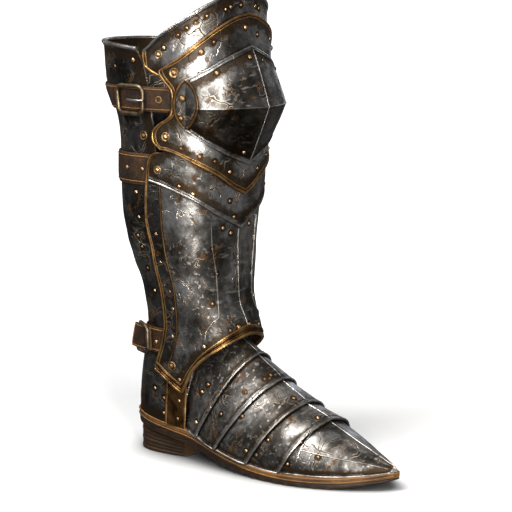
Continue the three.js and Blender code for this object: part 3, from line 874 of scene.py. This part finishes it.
SABATON = [("instep_lame", 0.0, 1.0), ("foot_lame_1", 0.7, 2.0), ("foot_lame_2", 1.7, 3.0),
           ("foot_lame_3", 2.7, 4.0), ("toe_cap", 3.7, 7.0)]
sabaton = {}
for cad_name, first, last in SABATON:
    rows = 84 if last == LAST_STATION else 26
    sabaton[cad_name] = dress(sheet(f"fine_{cad_name}", 96, rows, foot_rule(first, last), STEEL,
                                    grime_and_shade=10.0), "steel", cad_name)
print("sabaton pieces:", len(sabaton))

# %% [markdown]
# ## The tip of the toe
# The toe cap ends in a small open arch over the point of the sole. A smith draws the
# plate to a point there. Two rings of points and one end point close it as a blunt cone.

# %% Close the tip of the toe
rim_points = [foot_point(LAST_STATION, -90 + 180 * k / 24, PLATE) for k in range(25)]
rim_points += [Vector((p.x * 0.4, p.y, 17.4)) for p in (rim_points[-1], rim_points[0])]
tip_end = Vector((0, -284.3, 18.6))
middle_ring = [p.lerp(tip_end, 0.55) + Vector((0, 0, 0.5)) for p in rim_points]
count = len(rim_points)
tip_faces = [[k, (k + 1) % count, count + (k + 1) % count, count + k] for k in range(count)]
tip_faces += [[count + k, count + (k + 1) % count, 2 * count] for k in range(count)]
tip_faces.append(list(range(count))[::-1])
dress(finish_mesh("toe_tip", rim_points + middle_ring + [tip_end], tip_faces, EDGE_STEEL, 30),
      "steel")
print("toe closed with", count, "corners")

# %% [markdown]
# ## Heel counter and ankle bands
# Behind the sabaton the heel is wrapped in one stiff counter. A narrow band on each side
# covers the joint between the two.

# %% Make the counter and the bands
def counter_place(u, v, side):
    turn = mix(86, 274, u)
    seat_y = leg_point(turn, 0.08 * LEG_HEIGHT, 0)[1]
    height = mix(along(SOLE, -seat_y, 3) + GAP, 0.24 * LEG_HEIGHT, v)
    return leg_point(turn, height, CALF + side * PLATE)


counter = dress(sheet("heel_wrap", 96, 30, counter_place, DARK_STEEL), "dark_steel",
                "heel_counter")


def band_rule(hand):
    def place(u, v, side):
        turn = hand * mix(63, 98, u)
        seat_y = leg_point(turn, 0.08 * LEG_HEIGHT, 4)[1]
        height = mix(along(SOLE, -seat_y, 3) + GAP, 0.175 * LEG_HEIGHT, v)
        crown = 0.35 * (1 - (2 * u - 1) ** 4)
        return leg_point(turn, height, PLATE + GAP + side * (PLATE - 0.35 + crown))
    return place


bands = {word: dress(sheet(f"ankle_cover_{word}", 20, 30, band_rule(hand), DULL_BRASS),
                     "brass", f"ankle_band_{word}")
         for word, hand in HANDS}
print("counter and bands ready")

# %% [markdown]
# ## Sole, welt and heel
# The sole is thick leather with a paler welt on top. A slab stacks the sole's outline as
# rings, a little smaller at the bottom and top, which rounds both edges as a shoemaker's
# file does. Its halves and faces are rules, so the same slab serves welt, sole and heel.

# %% Make the sole
def slab(name, rule_half, low, high, start, stop, material, layers=5, steps=110):
    """A slab with a softly rounded wall, as rings stacked from its under face up."""
    ys = [mix(start, stop, 0.5 - 0.5 * math.cos(math.pi * k / steps)) for k in range(steps + 1)]
    outline = [(-rule_half(y), y) for y in ys] + [(rule_half(y), y) for y in ys[::-1]]
    corners, faces, count = [], [], len(outline)
    for k in range(layers + 1):
        rise = k / layers
        inset = 0.9 * (abs(2 * rise - 1) ** 6)
        for x, y in outline:
            wide = max(0.2, abs(x) - inset)
            corners.append(Vector((math.copysign(wide, x), y, mix(low(y), high(y), rise))))
    for k in range(layers):
        for n in range(count):
            m = (n + 1) % count
            a, b = k * count, (k + 1) * count
            faces.append([a + n, a + m, b + m, b + n])
    top_row = layers * count
    for n in range(len(ys) - 1):
        m = count - 1 - n
        faces.append([n, n + 1, m - 1, m][::-1])
        faces.append([top_row + n, top_row + n + 1, top_row + m - 1, top_row + m])
    return finish_mesh(name, corners, faces, material, 40)


def sole_half(y):
    return along(SOLE, -y, 1)


def sole_low(y):
    return max(0.0, along(SOLE, -y, 2))


def sole_high(y):
    return along(SOLE, -y, 3)


HEEL_END, TOE_END = 46, -285
dress(slab("welt_strip", lambda y: sole_half(y) + 0.8, lambda y: sole_high(y) - 5, sole_high,
           HEEL_END, TOE_END, WELT_LEATHER), "sole_leather", "welt")
dress(slab("walking_sole", sole_half, sole_low, lambda y: sole_high(y) - 5.3, HEEL_END, TOE_END,
           SOLE_LEATHER), "sole_leather", "outsole")
print("sole from", HEEL_END, "to", TOE_END)

# %% [markdown]
# ## Lines and nicks of the sole
# Two pale lines run along the wall of the sole, where the welt is stitched down and where
# the layers meet. The lower edge shows a row of dark notches, as a tread does. Each is a
# thin plate let into the wall, dark with painted shade, which reads as a gap and needs no
# boolean cut.

# %% Line and nick the sole
sole_lines = [([Vector((side * (sole_half(y) + 0.9), y, mix(sole_low(y), sole_high(y), share)))
                for y in [mix(43, -283, k / 150) for k in range(151)]], radius)
              for side in (-1, 1) for share, radius in ((0.97, 0.8), (0.62, 0.6))]
dress(beads("sole_lines", sole_lines, WELT_LEATHER, 8), "sole_leather")


def wall_notch(half, y, side, low, wide, tall):
    """A nick in the lower edge of a wall, as a thin plate let into it, dark with painted shade."""
    corners = []
    for stand in (-0.6, 0.25):
        for step, rise in ((-wide, 0.0), (wide, 0.0), (wide * 0.6, tall), (-wide * 0.6, tall)):
            corners.append(Vector((side * (half(y + step) + stand), y + step, low(y) + rise)))
    return corners, [[3, 2, 1, 0], [4, 5, 6, 7], [0, 1, 5, 4], [1, 2, 6, 5], [2, 3, 7, 6],
                     [3, 0, 4, 7]]


nicks = [wall_notch(sole_half, -84 - 14.5 * k, side, sole_low, 2.8 + 0.6 * (k % 3), 3.2)
         for side in (-1, 1) for k in range(11)]
# The nicks are near-black leather: painted shade inside each notch.
dress(joined("tread_nicks", nicks, HOLE_SHADE), "sole_leather")

print("tread nicks:", len(nicks))

# %% [markdown]
# ## The heel
# A heel is a stack of leather lifts, and it shows its layers. The lifts are separate
# slabs with rounded edges, each a hair in or out from the one below.

# %% Stack the heel
HEEL = [(0.0, 0.10), (0.04, 0.42), (0.11, 0.68), (0.24, 0.88), (0.46, 1.0), (0.75, 1.0),
        (1.0, 0.94)]
GROW = (0.0, -0.5, 0.15, -0.35, 0.1, -0.4)
HEEL_REAR, HEEL_BREAST, HEEL_HALF = 43.5, -32, 33.5
LIFT_GAP = 0.12
LIFTS = len(GROW)
lifts = []
for k, grow in enumerate(GROW):

    def heel_half(y, grow=grow):
        return along(HEEL, (HEEL_REAR - y) / (HEEL_REAR - HEEL_BREAST), 1) * HEEL_HALF + grow

    def lift_low(y, k=k):
        return (sole_low(y) - GAP) * k / LIFTS + (LIFT_GAP if k else 0.0)

    def lift_high(y, k=k):
        return (sole_low(y) - GAP) * (k + 1) / LIFTS - LIFT_GAP

    lifts.append(slab(f"heel_lift_{k + 1}", heel_half, lift_low, lift_high, HEEL_REAR,
                      HEEL_BREAST, SOLE_LEATHER, 4, 60))
for piece in lifts[1:]:
    dress(piece, "sole_leather")
dress(lifts[0], "sole_leather", "heel_block")
print("heel lifts:", len(lifts))

# %% [markdown]
# ## Straps and buckles
# Three leather straps close the armour behind the leg. A strap is a crowned slab that
# follows the leg, so the same rule that places a plate places it too.

# %% Make the straps
def strap_rule(low, high, end):
    def place(u, v, side):
        turn = mix(end, 360 - end, u)
        crown = 1 - abs(2 * v - 1) ** 5 * 0.45
        height = mix(low, high, v) * LEG_HEIGHT
        return leg_point(turn, height, STRAP + LEATHER * (crown if side else 0.45 * (1 - crown)))
    return place


STRAPS = [("upper_strap", 0.737, 0.788, 59), ("middle_strap", 0.585, 0.650, 78),
          ("ankle_strap", 0.224, 0.279, 80)]
straps = {}
for cad_name, low, high, end in STRAPS:
    rule = strap_rule(low, high, end)
    straps[cad_name] = dress(sheet(f"fine_{cad_name}", 150, 12, rule, STRAP_LEATHER),
                             "strap_leather", cad_name)


print("straps:", len(straps))

# %% [markdown]
# ## The buckles
# A buckle is a bent rod with rounded corners, and its prong lies over the front bar. The
# ring of its middle line is drawn on the strap itself, so it bends round the leg with it.
# The free end of the ankle strap curls away behind its buckle.

# %% Make the buckles
def on_strap(turn, height, out):
    return leg_point(turn, height, STRAP + LEATHER + out)


def frame_ring(turn_a, turn_b, low, high, out, corner=0.22, steps=12):
    """The middle line of a buckle frame with rounded corners, on the leg."""
    points = []
    for cx, cy, start in ((1, 1, 0), (0, 1, 90), (0, 0, 180), (1, 0, 270)):
        for k in range(steps + 1):
            angle = math.radians(start + 90 * k / steps)
            x = cx + (corner * math.cos(angle) - corner * (2 * cx - 1))
            y = cy + (corner * math.sin(angle) - corner * (2 * cy - 1))
            points.append(on_strap(mix(turn_a, turn_b, x), mix(low, high, y), out))
    return points


def buckle(name, ring, rod):
    return joined(name, [bead_mesh(frame_ring(*ring), rod, 12, closed=True)], BUCKLE_METAL)


dress(buckle("buckle_frame", (-120, -91.5, 369.3, 398.0, 2.4), 2.35), "brass", "upper_buckle")
prong_line = [on_strap(mix(-107, -89.5, k / 24), 383.5, 4.6 + 0.9 * math.sin(math.pi * k / 24))
              for k in range(25)]
dress(beads("buckle_prong", [(prong_line, 1.35)], EDGE_STEEL, 12), "brass", "upper_tongue")
dress(buckle("ankle_buckle_frame", (-146, -120, 112.5, 142.0, 5.4), 2.1), "dark_steel",
      "ankle_buckle")


def loose_end(u, v, side):
    """The end of the ankle strap, which stands away from the leg behind its buckle."""
    lift = 0.5 + 9.0 * u ** 1.5
    crown = 0.5 * (1 - abs(2 * v - 1) ** 4)
    return on_strap(mix(-121, -150, u), mix(114.5, 140.0, v), lift + side * 2.0 + crown * side)


dress(sheet("ankle_strap_end", 40, 10, loose_end, STRAP_LEATHER), "strap_leather")
print("buckles ready")

# %% [markdown]
# ## Creases and an eyelet
# A saddler presses a line along both edges of a strap with a hot creasing iron. Here two
# fine beads stand for its raised lips. The hole in the strap's free end has a metal ring,
# with a dark disc in it as painted shade.

# %% Crease the straps
for cad_name, low, high, end in STRAPS:
    rule = strap_rule(low, high, end)
    creases = [([rule(k / 150, v, 1) for k in range(151)], 0.55) for v in (0.10, 0.90)]
    dress(beads(f"crease_{cad_name}", creases, WELT_LEATHER, 8), "strap_leather")
end_creases = [([loose_end(k / 40, v, 1) for k in range(41)], 0.6) for v in (0.06, 0.94)]
end_creases.append(([loose_end(1.0, k / 12, 1) for k in range(13)], 0.6))
dress(beads("crease_ankle_end", end_creases, WELT_LEATHER, 8), "strap_leather")


def circle(point, normal, radius, steps=28):
    side = normal.orthogonal().normalized()
    other = normal.cross(side)
    return [point + (side * math.cos(2 * math.pi * k / steps)
                     + other * math.sin(2 * math.pi * k / steps)) * radius for k in range(steps)]


EYELET = (76, 0.762 * LEG_HEIGHT)
for word, hand in HANDS:
    point = on_strap(hand * EYELET[0], EYELET[1], 0.1)
    normal = (on_strap(hand * EYELET[0], EYELET[1], 1.1) - point).normalized()
    ring = joined(f"eyelet_{word}", [bead_mesh(circle(point, normal, 3.1), 1.1, 10, True)], BRASS)
    dress(ring, "brass")
    # The dark disc in the ring is painted shade for the hole.
    dress(joined(f"eyelet_hole_{word}", [head_mesh(point, normal, 2.4, [(0, 0.1), (0.9, 0.08),
                                                                        (1.0, -0.1)])], HOLE_SHADE),
          "strap_leather")
print("straps creased")

# %% [markdown]
# ## Beads along the edges
# Now every edge gets its bead. Brass runs along the edges that show most, plain steel
# along the rest. The beads sit half into their plate, as a wire under a turned edge does.
# One table lists them, because only the plate, the edge and the thickness change.

# %% Roll the edges
EDGES = [  # piece, plate, finish, slot, and for each line: edge, radius, steps, two ends
    ("shell_edge", shell_place, BRASS, "brass",
     [("left", 1.3), ("right", 1.3), ("low", 1.9)]),
    ("shell_top_edge", shell_place, BRASS, "brass",
     [("high", 1.3, 40, 0.0, 0.12), ("high", 1.3, 40, 0.88, 1.0)]),
    ("knee_edge", knee_place, BRASS, "brass",
     [("left", 1.2, 160), ("right", 1.2, 160), ("high", 1.2, 160), ("low", 1.2, 160)]),
    ("top_edge", top_place, EDGE_STEEL, "steel", [("high", 1.5, 160)]),
    ("top_tab_edge", top_place, BRASS, "brass",
     [("left", 1.3), ("right", 1.3), ("low", 1.4, 40, 0.0, 0.16), ("low", 1.4, 40, 0.84, 1.0)]),
    ("lame_edge", lame_place, EDGE_STEEL, "steel", [("low", 1.3, 160)]),
    ("lame_lobe_edge", lame_place, DULL_BRASS, "brass", [("left", 1.0), ("right", 1.0)]),
    ("cop_edge", cop_place, EDGE_STEEL, "steel", [("low", 1.35), ("high", 1.35)]),
    ("calf_rim", calf_place, EDGE_STEEL, "dark_steel", [("high", 2.2, 140)]),
    ("calf_front_edge", calf_place, DARK_STEEL, "dark_steel", [("left", 1.2), ("right", 1.2)]),
]
for name, place, metal, slot, lines in EDGES:
    edge_lines = [(border(place, edge, *part), radius) for edge, radius, *part in lines]
    dress(beads(name, edge_lines, metal), slot,
          body="upper_lame" if place is top_place else "boot")
for word, hand in HANDS:
    rule = side_rule(hand)
    dress(beads(f"side_rim_{word}", [(border(rule, "left", 60), 1.3),
                                     (border(rule, "right", 60), 1.3)], DULL_BRASS), "brass")
for cad_name, first, last in SABATON:
    rule = foot_rule(first, last)
    foot_beads = [(border(rule, "left", 60), 1.1), (border(rule, "right", 60), 1.1)]
    if last < LAST_STATION:
        foot_beads.append((border(rule, "high", 90), 1.3))
    if first == 0:
        foot_beads.append((border(rule, "low", 90), 1.2))
    dress(beads(f"edge_{cad_name}", foot_beads, EDGE_STEEL), "steel")
print("edges rolled")

# %% [markdown]
# ## Trims beside the edges
# Inside each rolled edge runs a low strip, ridged like a moulding, with a fine lip on its
# inner side. It is a sheet laid on the plate: the rule walks in from the edge by a set
# distance in millimetres, so the strip keeps one width however the plate narrows.

# %% Walk in from an edge
def trim_rule(place, edge, inset, profile):
    """A strip laid on a plate along one edge, reaching in by inset mm."""
    walk = {"low": lambda t, d: (t, d), "high": lambda t, d: (t, 1 - d),
            "left": lambda t, d: (d, t), "right": lambda t, d: (1 - d, t)}[edge]

    def rule(u, v, side):
        step = 0.01
        wide = (place(*walk(u, step), 1) - place(*walk(u, 0.0), 1)).length
        share = step * (inset * v) / max(wide, 0.01)
        return place(*walk(u, share), 1 + (profile(v) if side else -0.4) / PLATE)
    return rule


def ridges(count, low, high):
    """A profile with some rounded ridges across it."""
    return lambda v: mix(low, high, abs(math.sin(math.pi * count * v)) ** 0.8)


def part_of(rule, first, last):
    return lambda u, v, side: rule(mix(first, last, u), v, side)


def trims(name, strips, material, steps=150, rows=12, slot="brass", body="boot", lip=None):
    """One piece of trim for each strip: place, edge, inset, profile, and perhaps two ends."""
    for word, (place, edge, inset, profile, *ends) in strips.items():
        rule = part_of(trim_rule(place, edge, inset, profile), *(ends or (0.0, 1.0)))
        dress(sheet(f"{name}_{word}", steps, rows, rule, material, crease=40, grime_and_shade=0),
              slot, body=body)
        if lip:
            inner = beads(f"{name}_lip_{word}", [(border(rule, "high", steps), 0.62)], lip, 8)
            dress(inner, slot, body=body)


print("trim rule ready")

# %% [markdown]
# ## Which edges have a trim
# Dull brass lies on the edges that the picture shows yellow, dark or plain steel on the
# rest. The lips are brighter or darker than their strip, which draws its inner line.

# %% Lay the trims
BOTH = (("outer", "left"), ("inner", "right"))
trims("rim", {"low": (shell_place, "low", 8.5, ridges(2, 0.4, 1.5))}, DULL_BRASS, 220, 16,
      lip=BRASS)
trims("rim_rear", {word: (shell_place, edge, 3.4, ridges(1, 0.3, 0.8))
                   for word, edge in BOTH}, DULL_BRASS, lip=BRASS)
trims("knee_trim", {**{word: (knee_place, edge, 4.2, ridges(1, 0.3, 0.9))
                       for word, edge in BOTH},
                    "low": (knee_place, "low", 3.8, ridges(1, 0.3, 0.9)),
                    "top": (knee_place, "high", 3.0, ridges(1, 0.2, 0.7))}, DULL_BRASS,
      lip=BRASS)
trims("tab_trim", {word: (top_place, edge, 3.8, ridges(1, 0.3, 0.9))
                   for word, edge in BOTH}, DULL_BRASS, body="upper_lame", lip=BRASS)
trims("top_trim", {"high": (top_place, "high", 4.2, ridges(1, 0.2, 0.9))}, DARK_STEEL,
      slot="steel", body="upper_lame")
trims("lame_trim", {"low": (lame_place, "low", 4.4, ridges(1, 0.2, 0.8))}, STEEL,
      slot="steel", lip=DARK_STEEL)
trims("cop_trim", {"low": (cop_place, "low", 4.2, ridges(1, 0.2, 0.8), 0.03, 0.97),
                   "high": (cop_place, "high", 4.2, ridges(1, 0.2, 0.8), 0.03, 0.97)}, STEEL,
      slot="steel", lip=DARK_STEEL)
trims("calf_trim", {"high": (calf_place, "high", 4.5, ridges(1, 0.2, 0.8))},
      DARK_STEEL, slot="dark_steel")
trims("counter_trim", {"high": (counter_place, "high", 5.0, ridges(2, 0.4, 1.2))},
      DULL_BRASS)
for word, hand in HANDS:
    trims(f"band_trim_{word}", {
        "front": (band_rule(hand), "left", 2.6, ridges(1, 0.3, 0.9)),
        "rear": (band_rule(hand), "right", 2.6, ridges(1, 0.3, 0.9))}, BRASS, 60, 8)
for cad_name, first, last in SABATON:
    rule = foot_rule(first, last)
    strips = {"outer": (rule, "left", 2.6, ridges(1, 0.1, 0.6)),
              "inner": (rule, "right", 2.6, ridges(1, 0.1, 0.6))}
    if last < LAST_STATION:
        strips["front"] = (rule, "high", 4.0, ridges(1, 0.1, 0.7))
    trims(f"trim_{cad_name}", strips, STEEL, 100, 8, slot="steel", lip=DARK_STEEL)
print("trims laid")

# %% [markdown]
# ## Lines worked into the plates
# A band runs inside the rear edge of the greave, and two raised lines part its face into
# three. They are fine beads laid on the plate. The lines beside the keel were read from
# the picture and laid on the plate by the camera's rays, then mirrored.

# %% Lay the raised lines
BAND = [(0.205, 88), (0.262, 77), (0.332, 70), (0.388, 69), (0.448, 73), (0.502, 75), (0.60, 75)]


def rear_strip(hand):
    def rule(u, v, side):
        height = mix(0.212, 0.592, v)
        turn = mix(along(SHELL_REAR, height, 1), along(BAND, height, 1), u)
        return leg_point(hand * turn, height * LEG_HEIGHT, SHELL + PLATE + (0.6 if side else -0.3))
    return rule


for word, hand in HANDS:
    rule = rear_strip(hand)
    dress(sheet(f"rear_strip_{word}", 20, 130, rule, DARK_STEEL, grime_and_shade=2.5), "dark_steel")
    dress(beads(f"strip_edge_{word}", [(border(rule, "right", 130), 0.85)], DULL_BRASS), "brass")
facet = surface_line(shell, [(211, 222), (212, 248), (216, 272), (218, 300), (219, 318),
                             (212, 323), (206, 332), (205, 340)])
face_lines = [(facet, 0.7), ([p * MIRROR for p in facet], 0.7)]
keel = [leg_point(0, height, SHELL + PLATE + 0.1) for height in range(144, 250, 2)]
face_lines.append((keel, 0.6))
dress(beads("shell_lines", face_lines, EDGE_STEEL), "steel")
cop_lines = [([cop_place(0.5, k / 60, 1) for k in range(61)], 0.6),
             ([cop_place(0.06 + 0.88 * k / 60, 0.5, 1) for k in range(61)], 0.5)]
dress(beads("cop_folds", cop_lines, EDGE_STEEL), "steel")
foot_folds = []
for cad_name, first, last in SABATON:
    rule = foot_rule(first, last)
    foot_folds.append(([rule(0.5, k / 40, 1) for k in range(41)], 0.6))
dress(beads("foot_folds", foot_folds, EDGE_STEEL), "steel")
flute = surface_line(sabaton["toe_cap"], [(300, 450), (315, 454), (338, 459), (361, 463),
                                          (388, 469)])
arc = surface_line(sabaton["toe_cap"], [(318, 425), (309, 436), (301, 448), (296, 462)])
inner_arc = surface_line(sabaton["instep_lame"], [(255, 360), (239, 369), (226, 379), (213, 396),
                                                  (205, 412), (200, 428)])
foot_lines = [(line, 0.6) for line in (flute, arc, inner_arc)]
foot_lines += [([p * MIRROR for p in line], 0.6) for line, _ in foot_lines]
dress(beads("foot_lines", foot_lines, EDGE_STEEL), "steel")
seam = surface_line(calf, [(126, 232), (131, 236), (138, 241), (146, 246)])
dress(beads("calf_seam", [(seam, 0.6), ([p * MIRROR for p in seam], 0.6)], DARK_STEEL),
      "dark_steel")
print("raised lines laid")

# %% [markdown]
# ## The large rivets
# The large heads hold a joint or a lobe, so the solid model has them too. Their places
# are known as an angle and a height on the leg, and a head is set square to the plate
# there. The small one low on each side plate of the cop has no solid behind it.

# %% Set the large rivets
HEAD_IN_RING = 0.62
BIG = [("lame_pivot", 61, 0.819, KNEE, 5.4), ("knee_lobe_rivet", 68, 0.689, KNEE, 5.0),
       ("lower_lame_rivet", 76, 0.620, LOWER_LAME, 4.6), ("ankle_rivet", 84, 0.202, SHELL, 5.2),
       ("side_plate_rivet", 55, 0.768, SIDE, 3.2), ("side_low_rivet", 56, 0.728, SIDE, 2.2)]
HOLDS = {"lame_pivot": "knee_frame", "knee_lobe_rivet": "knee_frame",
         "lower_lame_rivet": "greave_lame", "ankle_rivet": "greave_shell",
         "side_plate_rivet": "cop_side_{}", "side_low_rivet": "cop_side_{}"}
for stem, turn, height, out, radius in BIG:
    for word, hand in HANDS:
        point = leg_point(hand * turn, height * LEG_HEIGHT, out + PLATE)
        beside = leg_point(hand * turn + 1, height * LEG_HEIGHT, out + PLATE) - point
        above = leg_point(hand * turn, height * LEG_HEIGHT + 2, out + PLATE) - point
        normal = beside.cross(above).normalized()
        if normal.x * hand < 0:
            normal.negate()
        profile = DOME if stem.startswith("side") else RINGED
        wide = radius * HEAD_IN_RING if profile is RINGED else radius
        head = joined(f"{stem}_head_{word}", [head_mesh(point, normal, wide, profile, 20)],
                      RIVET_BRASS, 50)
        solid = f"{stem}_{word}"
        dress(head, "brass", *([solid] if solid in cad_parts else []))
        SPOTS.setdefault(HOLDS[stem].format(word), []).append(point)
print("large rivets:", 2 * len(BIG))

# %% [markdown]
# ## The rows of small rivets
# Each list below holds the rivets that the picture shows on one plate: across, down,
# radius in millimetres, and 1 where the head sits on a ring. When all are set, their
# plates learn where they are, because dirt gathers in a ring round each head.

# %% Set the small rivets
ROWS = {
    "top_rivets": (top, [(158.4, 54.7, 2.9, 1), (163.7, 48, 2.2), (231, 7, 2.1),
                         (241, 5, 1.6), (259, 8, 1.7), (187, 28, 1.5),
                         (207, 16, 1.5), (178, 35, 1.3), (196, 23, 1.3)]),
    "knee_rivets": (knee, [(201.7, 52.6, 3.3), (214, 42, 1.7), (245.7, 27.3, 2.6),
                           (181, 149, 1.8), (200, 157, 2.1), (215, 161.5, 1.5),
                           (230, 172, 2.1), (257.6, 34.4, 1.8)]),
    "cop_rivets": (cop, [(250, 57, 2.3), (217, 73, 2.5), (244, 152.6, 2.3),
                         (263, 60, 1.7)]),
    "lame_rivets": (lame, [(179, 186.5, 1.8), (193, 194.6, 2.5), (230, 201, 2.0),
                           (234, 217, 2.0), (206, 205.5, 1.6)]),
    "shell_rivets": (shell, [(170, 291.5, 1.8), (173, 309, 2.0), (172.6, 336.5, 2.3),
                             (179.4, 380, 2.2), (204, 347, 2.5), (239, 327, 2.4),
                             (230.6, 330.6, 1.8), (212.7, 304, 1.9), (212.5, 249, 1.4),
                             (217, 274, 1.3), (223, 228, 2.2), (231, 233, 2.2),
                             (249.6, 323.5, 1.6), (156, 234, 2.1), (160.6, 262, 1.7)]),
    "calf_rivets": (calf, [(133, 60, 2.4), (143.6, 135.5, 3.0, 1), (136, 192, 2.1),
                           (139, 217, 1.8), (138, 235.5, 1.9), (142, 246.6, 1.5),
                           (147.6, 268, 1.5), (154.7, 290.5, 1.8), (115, 66, 1.5)]),
    "counter_rivets": (counter, [(155, 388, 1.9), (164, 398, 1.8), (164, 413, 1.9)]),
    "band_rivets": (bands["outer"], [(179, 401, 1.9), (177.5, 419, 2.1)]),
    "instep_rivets": (sabaton["instep_lame"], [(202, 392, 2.2), (208, 384.5, 2.0),
                                               (196, 422.5, 2.4)]),
    "foot_1_rivets": (sabaton["foot_lame_1"], [(271, 375, 1.8),
                                               (265, 379, 1.7), (245, 392, 1.8),
                                               (221, 414, 1.7)]),
    "foot_2_rivets": (sabaton["foot_lame_2"], [(246, 451, 2.1), (294, 398, 1.9),
                                               (242, 416, 2.2)]),
    "foot_3_rivets": (sabaton["foot_lame_3"], [(256, 455, 2.1), (318, 417.5, 2.1),
                                               (268, 440, 1.6)]),
    "toe_rivets": (sabaton["toe_cap"], [(287, 464, 2.1), (301, 442, 1.8),
                                        (318, 457, 1.5)]),
    "strap_rivets": (straps["middle_strap"], [(127, 167, 2.0), (142, 169, 2.3)]),
    "ankle_strap_rivets": (straps["ankle_strap"], [(156, 342, 2.2)]),
}
for name, (plate, spots) in ROWS.items():
    body = "upper_lame" if plate is top else "boot"
    dress(rivets(name, plate, spots, RIVET_BRASS), "brass", body=body)
for plate_name, places in SPOTS.items():
    mark(bpy.data.objects[plate_name], "rivet_grime", places, 4.0, 1.6)
print("rivet rows:", len(ROWS))

# %% [markdown]
# ## The floor
# The picture has a plain white ground with a soft dark line under the sole. The floor
# glows a little away from the boot, and ambient occlusion paints a contact shadow on it
# next to the boot. The steel doesn't see the floor, because a white floor would light it
# from below.

# %% Lay the floor
floor_mesh = bpy.data.meshes.new("floor")
FAR = 30
floor_mesh.from_pydata([(-FAR, -FAR, 0), (FAR, -FAR, 0), (FAR, FAR, 0), (-FAR, FAR, 0)], [],
                       [(0, 1, 2, 3)])
floor = bpy.data.objects.new("floor", floor_mesh)
floor.location.z = -0.0003
bpy.context.scene.collection.objects.link(floor)
pale, tree, shader, space = start_finish("pale_floor")
# Painted shadow: ambient occlusion darkens the floor's colour beside the boot.
beside = node(tree, "ShaderNodeAmbientOcclusion", {"Distance": 0.06}, samples=8).outputs["AO"]
tree.links.new(ramp(tree, beside, [(0.35, 0.10), (0.95, 0.80)]), shader.inputs["Base Color"])
shader.inputs["Roughness"].default_value = 0.9
away = node(tree, "ShaderNodeVectorMath", {0: space}, operation="LENGTH").outputs["Value"]
glow = node(tree, "ShaderNodeMapRange", {"Value": away, "From Min": 0.25, "From Max": 1.2,
                                         "To Min": 0.0, "To Max": 0.92}).outputs["Result"]
shader.inputs["Emission Color"].default_value = (1.0, 1.0, 1.0, 1.0)
tree.links.new(glow, shader.inputs["Emission Strength"])
floor_mesh.materials.append(pale)
floor.visible_glossy = False
floor.visible_diffuse = False
print("floor", 2 * FAR, "m wide")

# %% [markdown]
# ## The washers and the room
# The washers between the two knee lames are almost hidden, so their solids stay as they
# are and only take the dark steel. The room gives the steel a dim, slightly cool grey to
# reflect, while the camera alone sees a white wall.

# %% Dress the washers and light the room
for word, _ in HANDS:
    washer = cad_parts[f"pivot_washer_{word}"]
    for slot in washer.material_slots:
        slot.material = DARK_STEEL

world = bpy.data.worlds.new("studio")
bpy.context.scene.world = world
world.use_nodes = True
sky = world.node_tree
room = sky.nodes["Background"]
room.inputs["Color"].default_value = (0.95, 0.97, 1.0, 1.0)
room.inputs["Strength"].default_value = 0.14
wall = node(sky, "ShaderNodeBackground", {"Color": (1.0, 1.0, 1.0, 1.0), "Strength": 0.95})
pick = node(sky, "ShaderNodeMixShader", {
    0: node(sky, "ShaderNodeLightPath").outputs["Is Camera Ray"],
    1: room.outputs[0], 2: wall.outputs[0]})
sky.links.new(pick.outputs[0], sky.nodes["World Output"].inputs["Surface"])
bpy.context.scene.view_settings.view_transform = "Standard"
print("room ready")

# %% [markdown]
# ## The lamps
# Steel shows its lamps, so their shapes are chosen for their reflections. Two strips and
# a key stand near the camera and give the bright patches. A soft sun and a large lamp
# above light what faces up, a weak strip fills the side, and a weak cool lamp behind
# draws the far edge.

# %% Hang the lamps
def aimed(name, kind, where, target, power, color):
    data = bpy.data.lights.new(name, kind)
    data.energy = power
    data.color = color
    item = bpy.data.objects.new(name, data)
    item.location = where
    item.rotation_euler = (Vector(where) - Vector(target)).to_track_quat("Z", "Y").to_euler()
    bpy.context.scene.collection.objects.link(item)
    return data


def lamp(name, where, target, power, wide, tall, color):
    data = aimed(name, "AREA", where, target, power, color)
    data.shape = "RECTANGLE"
    data.size = wide
    data.size_y = tall


sun = aimed("window", "SUN", (-0.50, 0.18, 1.6), (0, 0, 0), 1.5, (1.0, 0.98, 0.95))
sun.angle = math.radians(20)
lamp("strip", (-1.08, -1.28, 0.66), (0, -0.06, 0.28), 22, 0.20, 1.0, (1.0, 0.99, 0.97))
lamp("low_strip", (-1.08, -1.28, 0.20), (0, -0.06, 0.22), 19, 0.18, 0.34, (1.0, 0.99, 0.97))
lamp("side_strip", (-1.60, -0.70, 0.70), (0, -0.08, 0.32), 4, 0.22, 1.2, (1.0, 0.98, 0.95))
lamp("key", (-0.72, -1.32, 1.35), (0, -0.08, 0.35), 15, 0.40, 0.40, (1.0, 0.98, 0.95))
lamp("overhead", (-0.80, 0.25, 1.20), (0, -0.16, 0.08), 16, 0.6, 0.8, (1.0, 1.0, 1.0))
lamp("far_edge", (1.2, 0.35, 0.7), (0, -0.05, 0.3), 2, 0.4, 0.8, (0.78, 0.86, 1.0))
print("lamps set")
